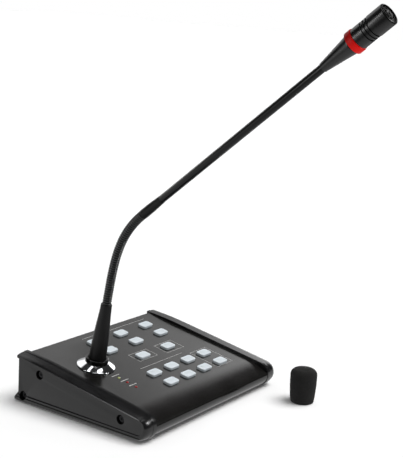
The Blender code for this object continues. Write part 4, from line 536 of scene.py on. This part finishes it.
for row, start in enumerate(REAR_ROWS):
    for column in range(3):
        key_cap(f"key_rear_{row * 3 + column + 1}", KEYS_X + (column - 1) * WIDE_COLUMN, start)
for column in range(2):
    key_cap(f"key_call_{column + 1}", KEYS_X + (column - 0.5) * WIDE_COLUMN, CALL_ROW)
for row, start in enumerate(FRONT_ROWS):
    for column in range(4):
        key_cap(f"key_front_{row * 4 + column + 1}", KEYS_X + (column - 1.5) * CLOSE_COLUMN, start)


# Status lamps: 3 mm domed lenses of tinted clear plastic, one green over two red, unlit.
# Each stands on its two legs on the key board and looks out through a hole in the cover.
def lens_plastic(name, dark, light):
    made = grained(name, dark, light, 0.0012, 0.00001, (0.12, 0.2))
    shader = made.node_tree.nodes["Principled BSDF"]
    shader.inputs["Transmission Weight"].default_value = 0.25
    shader.inputs["Coat Weight"].default_value = 0.6
    return made


green_lens = lens_plastic("green_lens", (0.44, 0.5, 0.16), (0.56, 0.62, 0.24))
red_lens = lens_plastic("red_lens", (0.34, 0.012, 0.01), (0.5, 0.02, 0.018))
LAMP_X = -0.0555
LEG_OFFSET = 0.00127
LAMPS = (
    ("status_lamp_green", green_lens, 0.0812),
    ("status_lamp_red_1", red_lens, 0.09105),
    ("status_lamp_red_2", red_lens, 0.1009),
)
LENS_RIM = [
    (0.0, -0.0044), (0.0018, -0.0044), (0.0019, -0.0043), (0.0019, -0.0035), (0.0018, -0.0034), (0.0015, -0.0034)
]


def quarter_round(radius, height, rounding, steps):
    """Points of a quarter circle about a point of a profile, from its outer side to its top."""
    turns = [math.radians(90 / steps * step) for step in range(steps + 1)]
    return [(radius + rounding * math.cos(turn), height + rounding * math.sin(turn)) for turn in turns]


for node, looks, start in LAMPS:
    dome = quarter_round(0.0, -0.0007, 0.0015, 10)[:-1] + [(0.0, 0.0008)]
    lamp = spun(LENS_RIM + dome, Matrix.Identity(4), 32)
    for leg_side in (-1, 1):
        leg_place = Matrix.Translation((leg_side * LEG_OFFSET, 0.0, -0.0068))
        bmesh.ops.create_cube(lamp, size=1.0, matrix=leg_place @ Matrix.Diagonal((0.0005, 0.0005, 0.0057, 1.0)))
    bmesh.ops.transform(lamp, matrix=PANEL @ Matrix.Translation((LAMP_X, -start, 0.0)), verts=lamp.verts)
    fitted("lens_" + node, lamp, looks, "base", node)


# Boards inside: green solder mask over copper tracks, with black chips and the sleeves of the capacitors.
# The key board hangs on the cover's studs under a milky silicone mat; the connector board stands on posts.
def board_laminate(name, mask, tracks):
    """Solder mask whose tracks run in two directions, a little proud of the board."""
    made = grained(name, mask, tracks, 0.0006, 0.00001, (0.25, 0.4))
    tree = made.node_tree
    runs = tree.nodes.new("ShaderNodeTexBrick")
    runs.inputs["Scale"].default_value = 160.0
    runs.inputs["Mortar Size"].default_value = 0.09
    runs.inputs["Color1"].default_value = (0.0, 0.0, 0.0, 1.0)
    runs.inputs["Color2"].default_value = (0.0, 0.0, 0.0, 1.0)
    runs.inputs["Mortar"].default_value = (1.0, 1.0, 1.0, 1.0)
    join_sockets(tree, object_place(tree), runs.inputs["Vector"])
    join_sockets(tree, runs.outputs["Color"], tree.nodes["shades"].inputs[0])
    return made


board_green = board_laminate("board_laminate", (0.012, 0.085, 0.035), (0.04, 0.2, 0.08))
mat_silicone = grained("mat_silicone", (0.6, 0.6, 0.57), (0.72, 0.72, 0.69), 0.0008, 0.00003, (0.5, 0.65))
lit_inside(mat_silicone, 0.3, 0.003)
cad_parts["key_board"].data.materials[0] = board_green
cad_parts["connector_board"].data.materials[0] = board_green
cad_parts["key_mat"].data.materials[0] = mat_silicone


# Network jacks: a pair of modular sockets moulded in one black housing, soldered to the connector board.
# Eight gilded spring wires slope down from the back of each mouth.
jack_plastic = grained("jack_plastic", (0.012, 0.012, 0.013), (0.022, 0.022, 0.024), 0.0004, 0.00002, (0.3, 0.42))
eased(fitted("jack_housing", merged_copy("network_jacks"), jack_plastic, "base", "network_jacks"), 0.00015)
contact_gold = grained("contact_gold", (0.62, 0.42, 0.12), (0.78, 0.56, 0.2), 0.0004, 0.00001, (0.2, 0.32), 1.0)
CONTACT_PITCH = 0.00102
CONTACT_SLOPE = Matrix.Rotation(math.radians(24), 4, "X")
contacts = bmesh.new()
for jack_x in (0.03275, 0.04725):
    for wire in range(8):
        x = jack_x + (wire - 3.5) * CONTACT_PITCH
        slope = Matrix.Translation((x, BASE_REAR_Y - 0.0092, 0.0203)) @ CONTACT_SLOPE
        bmesh.ops.create_cube(contacts, size=1.0, matrix=slope @ Matrix.Diagonal((0.00045, 0.0078, 0.0003, 1.0)))
fitted("jack_contacts", contacts, contact_gold, "base")


# Ribbon cable: grey ribbon of parallel wires with a moulded plug at each end, between the two boards.
# Its wires show as ribs that run along it.
ribbon_sleeve = grained("ribbon_sleeve", (0.2, 0.2, 0.21), (0.29, 0.29, 0.3), 0.0006, 0.00002, (0.45, 0.6))


def second_relief(made, height, relief):
    """Lays a coarser relief over the grain of a material."""
    tree = made.node_tree
    bump = tree.nodes.new("ShaderNodeBump")
    bump.inputs["Distance"].default_value = relief
    join_sockets(tree, height, bump.inputs["Height"])
    join_sockets(tree, tree.nodes["relief"].outputs["Normal"], bump.inputs["Normal"])
    join_sockets(tree, bump.outputs["Normal"], tree.nodes["Principled BSDF"].inputs["Normal"])


ribbon_tree = ribbon_sleeve.node_tree
ribbon_ribs = ribbon_tree.nodes.new("ShaderNodeTexWave")
ribbon_ribs.bands_direction = "X"
ribbon_ribs.inputs["Scale"].default_value = 248.0
join_sockets(ribbon_tree, object_place(ribbon_tree), ribbon_ribs.inputs["Vector"])
second_relief(ribbon_sleeve, ribbon_ribs.outputs["Fac"], 0.0003)
eased(fitted("flat_cable", merged_copy("ribbon_cable"), ribbon_sleeve, "base", "ribbon_cable"), 0.0002)


# Neck seat: a chromed turned flange on the panel, held by a brass socket and its lock nut below.
# A black ring with a rounded lip stands on the flange and takes the foot of the rubber boot.
NECK_SPOT = (-0.0555, -0.0538)
NECK = PANEL @ Matrix.Translation((*NECK_SPOT, 0.0))
chrome = grained("chrome_plate", (0.8, 0.81, 0.83), (0.86, 0.87, 0.89), 0.003, 0.000002, (0.04, 0.08), 1.0)
socket_brass = grained("socket_brass", (0.56, 0.4, 0.16), (0.68, 0.5, 0.22), 0.0006, 0.00001, (0.25, 0.38), 1.0)
ring_black = grained("ring_black", (0.003, 0.003, 0.003), (0.006, 0.006, 0.006), 0.0005, 0.000004, (0.16, 0.24))


def curved(start, leaving, arriving, end, count):
    """Points of a smooth profile between two ends."""
    return [tuple(point) for point in interpolate_bezier(*map(Vector, (start, leaving, arriving, end)), count)]


flange = [(0.0063, 0.0003), (0.0169, 0.0003), (0.0172, 0.0005), (0.0172, 0.0008), (0.0171, 0.00095), (0.0168, 0.0011)]
flange += curved((0.0168, 0.0011), (0.0148, 0.0024), (0.0124, 0.0038), (0.0106, 0.0045), 10)[1:]
flange += [(0.0102, 0.0046), (0.0063, 0.0046)]
fitted("chrome_flange", spun(flange, NECK, 96), chrome, "base", "neck_flange")
seat_ring = [(0.0063, 0.0049), (0.0102, 0.0049), (0.0104, 0.0051)] + quarter_round(0.0095, 0.0076, 0.0009, 6)
seat_ring += [(0.0084, 0.0085), (0.0082, 0.0083), (0.0082, 0.0061), (0.0063, 0.0061)]
fitted("seat_ring", spun(seat_ring, NECK, 72), ring_black, "base", "boot_ring")
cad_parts["neck_socket"].data.materials[0] = socket_brass
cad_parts["neck_lock_nut"].data.materials[0] = screw_zinc


# Boot: a soft black rubber sleeve that tapers from the ring to the flexible tube in a long hollow curve.
# It is moulded in one piece and pushed over the end of the tube.
boot_rubber = grained(
    "boot_rubber", (0.003, 0.003, 0.003), (0.006, 0.006, 0.006), 0.0006, 0.00003, (0.4, 0.52), gloss=0.3
)
boot_foot = Vector((0.0077, 0.0064))
boot_top = Vector((0.005, 0.0596))
boot_leaving = boot_foot + Vector((0.0, 0.026))
boot_arriving = boot_top - Vector((-0.0003, 0.014))
boot = [(0.0063, 0.0064)] + curved(boot_foot, boot_leaving, boot_arriving, boot_top, 28)
boot += [(0.0049, 0.06), (0.0047, 0.0602), (0.0044, 0.0602), (0.0044, 0.0088), (0.0063, 0.0088)]
fitted("rubber_boot", spun(boot, NECK, 56), boot_rubber, "base", "neck_boot")


# Flexible tube: a steel gooseneck under a matt black skin, with close ribs all the way.
# Two lengths of it meet where the neck bends, and each follows the neck's curve.
FLEX_RADIUS = 0.0041
FLEX_ROOT = 0.0032
FLEX_BORE = 0.0023
FLEX_PITCH = 0.0021
FLEX_GAP = 0.00003
RIB_STEPS = 5
BORE_STEPS = 24
ARM_RISE = 40.3
neck_foot = PANEL @ Vector((*NECK_SPOT, 0.0))
neck_start = PANEL @ Vector((*NECK_SPOT, 0.0088))
neck_boot_top = PANEL @ Vector((*NECK_SPOT, 0.0602))
neck_end = neck_foot + Vector((0.0, -0.0456, 0.1455))
arm_aim = Vector((0.0, -math.cos(math.radians(ARM_RISE)), math.sin(math.radians(ARM_RISE))))
boot_aim = (neck_boot_top - neck_foot).normalized()
neck_line = [neck_start] + list(interpolate_bezier(
    neck_boot_top, neck_boot_top + boot_aim * 0.0404, neck_end - arm_aim * 0.0343, neck_end, 160
))


def travels_of(line):
    """The distance of each point of a line along it."""
    travels = [0.0]
    for before, after in zip(line, line[1:]):
        travels.append(travels[-1] + (after - before).length)
    return travels


def at_travel(line, travels, travel):
    """Point and heading at a distance along a line."""
    index = 1
    while index < len(travels) - 1 and travels[index] < travel:
        index += 1
    share = (travel - travels[index - 1]) / (travels[index] - travels[index - 1])
    arriving = (line[index] - line[max(index - 2, 0)]).normalized()
    leaving = (line[min(index + 1, len(line) - 1)] - line[index - 1]).normalized()
    return line[index - 1].lerp(line[index], share), arriving.lerp(leaving, share).normalized()


neck_travels = travels_of(neck_line)
neck_length = neck_travels[-1]
boot_top_travel = 0.0514
neck_middle_travel = (boot_top_travel + neck_length) / 2


def laid_along(shape, line, travels):
    """Bends a shape made along Z so that its axis follows the line."""
    for vert in shape.verts:
        centre, heading = at_travel(line, travels, vert.co.z)
        side = Vector((1.0, 0.0, 0.0))
        vert.co = centre + side * vert.co.x + heading.cross(side) * vert.co.y
    return shape


def ribbed_length(start, end, ribs_start):
    """A bored tube between two distances, with rounded ribs from ribs_start on."""
    profile = [(FLEX_BORE, start)]
    if ribs_start != start:
        profile.append((FLEX_ROOT, start))
    count = int((end - ribs_start) / FLEX_PITCH)
    pitch = (end - ribs_start) / count
    for rib in range(count):
        for step in range(RIB_STEPS):
            swell = math.sin(math.pi * step / RIB_STEPS) ** 0.7
            radius = FLEX_ROOT + (FLEX_RADIUS - FLEX_ROOT) * swell
            profile.append((radius, ribs_start + (rib + step / RIB_STEPS) * pitch))
    profile += [(FLEX_ROOT, end), (FLEX_BORE, end)]
    profile += [(FLEX_BORE, end + (start - end) * step / BORE_STEPS) for step in range(1, BORE_STEPS)]
    return laid_along(spun(profile, Matrix.Identity(4), 28), neck_line, neck_travels)


flex_black = grained(
    "flex_black", (0.004, 0.004, 0.004), (0.009, 0.009, 0.009), 0.0005, 0.00001, (0.16, 0.24), gloss=0.95
)
lower_flex_shape = ribbed_length(0.0, neck_middle_travel - FLEX_GAP, boot_top_travel - FLEX_PITCH)
lower_flex = fitted("gooseneck_lower", lower_flex_shape, flex_black, "base", "flex_tube_lower")
upper_flex_start = neck_middle_travel + FLEX_GAP
upper_flex_shape = ribbed_length(upper_flex_start, neck_length - 0.0001, upper_flex_start)
upper_flex = fitted("gooseneck_upper", upper_flex_shape, flex_black, "neck_middle", "flex_tube_upper")


# Microphone lead: a round grey cable held inside the neck from the key board to the capsule.
# It is drawn in three lengths that follow the curve of the tube round them.
lead_sleeve = grained("lead_sleeve", (0.19, 0.19, 0.2), (0.27, 0.27, 0.28), 0.0006, 0.00002, (0.45, 0.58))
LEAD_RADIUS = 0.0011
LEAD_STEP = 0.003
LEAD_GAP = 0.00015
lead_foot = PANEL @ Vector((*NECK_SPOT, -0.014))
lead_solder = PANEL @ Vector((NECK_SPOT[0], -0.0753, -0.0119))
lead_pull = boot_aim * 0.0105
lead_bend = interpolate_bezier(lead_solder, lead_solder - lead_pull, lead_foot - lead_pull, lead_foot, 12)
lead_line = list(lead_bend) + neck_line
lead_travels = travels_of(lead_line)


def lead_length(line, travels, start, end):
    steps = max(int((end - start) / LEAD_STEP), 1)
    side = [(LEAD_RADIUS, start + (end - start) * step / steps) for step in range(steps + 1)]
    return laid_along(spun([(0.0, start)] + side + [(0.0, end)], Matrix.Identity(4), 20), line, travels)


lower_lead_end = lead_travels[-1] - (neck_length - neck_middle_travel) - LEAD_GAP
lower_lead_shape = lead_length(lead_line, lead_travels, 0.0, lower_lead_end)
lower_lead = fitted("lead_lower", lower_lead_shape, lead_sleeve, "base", "mic_lead_lower")
upper_lead_shape = lead_length(neck_line, neck_travels, neck_middle_travel + LEAD_GAP, neck_length - LEAD_GAP)
upper_lead = fitted("lead_upper", upper_lead_shape, lead_sleeve, "neck_middle", "mic_lead_upper")

boot_top_point = at_travel(neck_line, neck_travels, boot_top_travel)[0]
neck_middle_point = at_travel(neck_line, neck_travels, neck_middle_travel)[0]
for thing, bodies, span in (
    (lower_flex, ("base", "neck_middle"), (boot_top_point, neck_middle_point)),
    (lower_lead, ("base", "neck_middle"), (boot_top_point, neck_middle_point)),
    (upper_flex, ("neck_middle", "mic_arm"), (neck_middle_point, neck_end)),
    (upper_lead, ("neck_middle", "mic_arm"), (neck_middle_point, neck_end)),
):
    thing.parent = None
    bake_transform(thing)


# Coupling and stiff tube: a turned coupling crimped on the gooseneck, and a drawn tube in gloss black.
# The tube takes a soft sheen from end to end.
ARM = Matrix.Translation(neck_end) @ Matrix.Rotation(math.radians(90 - ARM_RISE), 4, "X")
coupling_black = grained(
    "coupling_black", (0.004, 0.004, 0.004), (0.007, 0.007, 0.007), 0.0005, 0.00001, (0.3, 0.42), gloss=0.22
)
tube_black = grained(
    "tube_black", (0.003, 0.003, 0.003), (0.006, 0.006, 0.006), 0.0008, 0.000003, (0.18, 0.26), gloss=0.25
)
coupling = [
    (0.0015, -0.005), (0.002, -0.005), (0.002, 0.0), (0.0037, 0.0), (0.0041, 0.0003), (0.00415, 0.0006),
    (0.00415, 0.0098), (0.00412, 0.0108), (0.004, 0.0128), (0.00372, 0.0188), (0.00354, 0.0225), (0.0035, 0.0245),
    (FLEX_BORE, 0.0245), (FLEX_BORE, 0.0295), (0.0015, 0.0295),
]
fitted("turned_coupling", spun(coupling, ARM, 48), coupling_black, "mic_arm", "neck_coupling")
arm_wall = [(0.0026, 0.0248), (0.00325, 0.0248), (0.00335, 0.025), (0.00335, 0.2191), (0.0026, 0.2191)]
fitted("gloss_tube", spun(arm_wall, ARM, 48), tube_black, "mic_arm", "arm_tube")
arm_lead = [(0.0, 0.0002), (LEAD_RADIUS, 0.0002), (LEAD_RADIUS, 0.2666), (0.0, 0.2666)]
fitted("lead_arm", spun(arm_lead, ARM, 20), lead_sleeve, "mic_arm", "mic_lead_arm")


# Cone and barrel: turned aluminium, anodised satin black, with fine lathe lines round the axis.
# The barrel has three sound grooves, and its sleeve slips through the light ring into the cone.
def along_axis(tree, place):
    """The shaded point as it lies from a place, along the place's own axes."""
    node = tree.nodes.new("ShaderNodeMapping")
    node.vector_type = "TEXTURE"
    node.inputs["Location"].default_value = place.to_translation()
    node.inputs["Rotation"].default_value = place.to_euler()
    join_sockets(tree, object_place(tree), node.inputs["Vector"])
    return node.outputs["Vector"]


def lathe_lines(made, place, pitch, relief):
    """Adds fine rings square to the axis of a place."""
    tree = made.node_tree
    lines = tree.nodes.new("ShaderNodeTexWave")
    lines.bands_direction = "Z"
    lines.inputs["Scale"].default_value = 0.31 / pitch
    lines.inputs["Distortion"].default_value = 0.6
    lines.inputs["Detail Scale"].default_value = 40.0
    join_sockets(tree, along_axis(tree, place), lines.inputs["Vector"])
    second_relief(made, lines.outputs["Fac"], relief)


anodised = grained("anodised_black", (0.004, 0.004, 0.004), (0.007, 0.007, 0.007), 0.0005, 0.000004, (0.22, 0.3))
lathe_lines(anodised, ARM, 0.0003, 0.000002)
CONE_BEGIN = 0.2111
CONE_END = 0.2403
cone = [(0.00365, CONE_BEGIN)]
cone += curved(
    (0.0038, CONE_BEGIN + 0.0001), (0.0046, CONE_BEGIN + 0.006),
    (0.0067, CONE_END - 0.0065), (0.00775, CONE_END - 0.0004), 20,
)
cone += [(0.0076, CONE_END), (0.00655, CONE_END), (0.00655, CONE_END - 0.0053), (0.00365, 0.2194)]
fitted("head_taper", spun(cone, ARM, 64), anodised, "mic_arm", "head_cone")

HEAD_BEGIN = 0.2465
HEAD_TIP = 0.2764
GROOVE_PITCH = 0.0028
barrel = [
    (0.00575, 0.2356), (0.00625, 0.2356), (0.00625, HEAD_BEGIN), (0.0084, HEAD_BEGIN), (0.0086, HEAD_BEGIN + 0.0002)
]
for groove in range(3):
    begin = HEAD_BEGIN + 0.0083 + groove * GROOVE_PITCH
    outer = 0.00885 if groove == 2 else 0.0086
    barrel += [(0.0086, begin - 0.0001), (0.0085, begin), (0.0077, begin + 0.0001), (0.0077, begin + 0.0013)]
    barrel += [(outer - 0.0001, begin + 0.0014), (outer, begin + 0.0015)]
barrel += quarter_round(0.00755, HEAD_TIP - 0.0013, 0.0013, 6)
barrel += [(0.00745, HEAD_TIP), (0.00735, HEAD_TIP - 0.0001), (0.00735, 0.274)]
barrel += [(0.00645, 0.274), (0.00645, 0.2649), (0.00575, 0.2649)]
fitted("head_shell", spun(barrel, ARM, 80), anodised, "mic_arm", "head_barrel")


# Light ring: cast in clear red plastic, with eased edges; a painted glow, strongest on its lower side, stands for the
# pale table's light seen through it from below.
# It is slipped on the sleeve between cone and barrel, over a small board with four lamps.
ring_red = grained("ring_red", (0.26, 0.002, 0.0015), (0.32, 0.003, 0.002), 0.002, 0.000002, (0.3, 0.4), gloss=0.12)
ring_tree = ring_red.node_tree
ring_shader = ring_tree.nodes["Principled BSDF"]
# Painted glow: red emission that is strong on the ring's lower side and faint all round it.
ring_shader.inputs["Emission Color"].default_value = (0.75, 0.008, 0.006, 1.0)
ring_ways = ring_tree.nodes.new("ShaderNodeSeparateXYZ")
join_sockets(ring_tree, along_axis(ring_tree, ARM), ring_ways.inputs[0])
ring_painted_glow = falling(ring_tree, ring_ways.outputs["Y"], -0.009, 0.007)
ring_painted_glow = worked(ring_tree, "ADD", worked(ring_tree, "MULTIPLY", ring_painted_glow, 0.55), 0.02)
join_sockets(ring_tree, ring_painted_glow, ring_shader.inputs["Emission Strength"])
ring = [
    (0.008, 0.2406), (0.0087, 0.2406), (0.0091, 0.2408), (0.0092, 0.2411),
    (0.0092, 0.2457), (0.0091, 0.246), (0.0087, 0.2462), (0.008, 0.2462),
]
fitted("red_ring", spun(ring, ARM, 80), ring_red, "mic_arm", "light_ring")
lamp_board_white = grained("lamp_board_white", (0.6, 0.6, 0.57), (0.72, 0.72, 0.7), 0.0006, 0.00001, (0.35, 0.5))
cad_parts["ring_lamp_board"].data.materials[0] = lamp_board_white


# Grille, capsule and holder: a slotted black cap is pressed in the barrel's end, over a nickel capsule.
# The capsule sits in a rubber cup, with black felt on its face.
grille_black = grained("grille_black", (0.005, 0.005, 0.005), (0.01, 0.01, 0.01), 0.0004, 0.00002, (0.3, 0.42), 0.3)
eased(fitted("slotted_grille", merged_copy("head_grille"), grille_black, "mic_arm", "head_grille"), 0.00012)
capsule_nickel = grained("capsule_nickel", (0.55, 0.54, 0.5), (0.68, 0.67, 0.63), 0.0005, 0.00001, (0.25, 0.38), 1.0)
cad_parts["mic_capsule"].data.materials[0] = capsule_nickel
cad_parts["capsule_holder"].data.materials[0] = boot_rubber


# Windscreen: a loose cap of black open-cell foam that stands on its mouth beside the base.
# Its sides bulge a little, its top is a low dome, and its bore takes the microphone head.
SCREEN = Matrix.Translation((0.08, BASE_REAR_Y - 0.1894, 0.0))
foam_black = grained("foam_black", (0.006, 0.0058, 0.0055), (0.02, 0.0193, 0.018), 0.00055, 0.00018, (0.92, 1.0))
foam_tree = foam_black.node_tree
foam_cells = foam_tree.nodes.new("ShaderNodeTexVoronoi")
foam_cells.inputs["Scale"].default_value = 1400.0
join_sockets(foam_tree, object_place(foam_tree), foam_cells.inputs["Vector"])
second_relief(foam_black, foam_cells.outputs["Distance"], 0.0003)

foam = [(0.0, 0.0245), (0.0049, 0.0245), (0.0064, 0.0241), (0.0075, 0.023), (0.0079, 0.0215), (0.0079, 0.0008)]
foam += [(0.0082, 0.0), (0.0098, 0.0), (0.0106, 0.0003)]
foam += curved((0.011, 0.0012), (0.0117, 0.0075), (0.0124, 0.0145), (0.0124, 0.0229), 14)
foam += quarter_round(0.0069, 0.0263, 0.0055, 12)
foam += [(0.0052, 0.0321), (0.0035, 0.03245), (0.0018, 0.03265), (0.0, 0.0327)]
screen = fitted("foam_cap", spun(foam, SCREEN, 72), foam_black, "windscreen", "foam_windscreen")
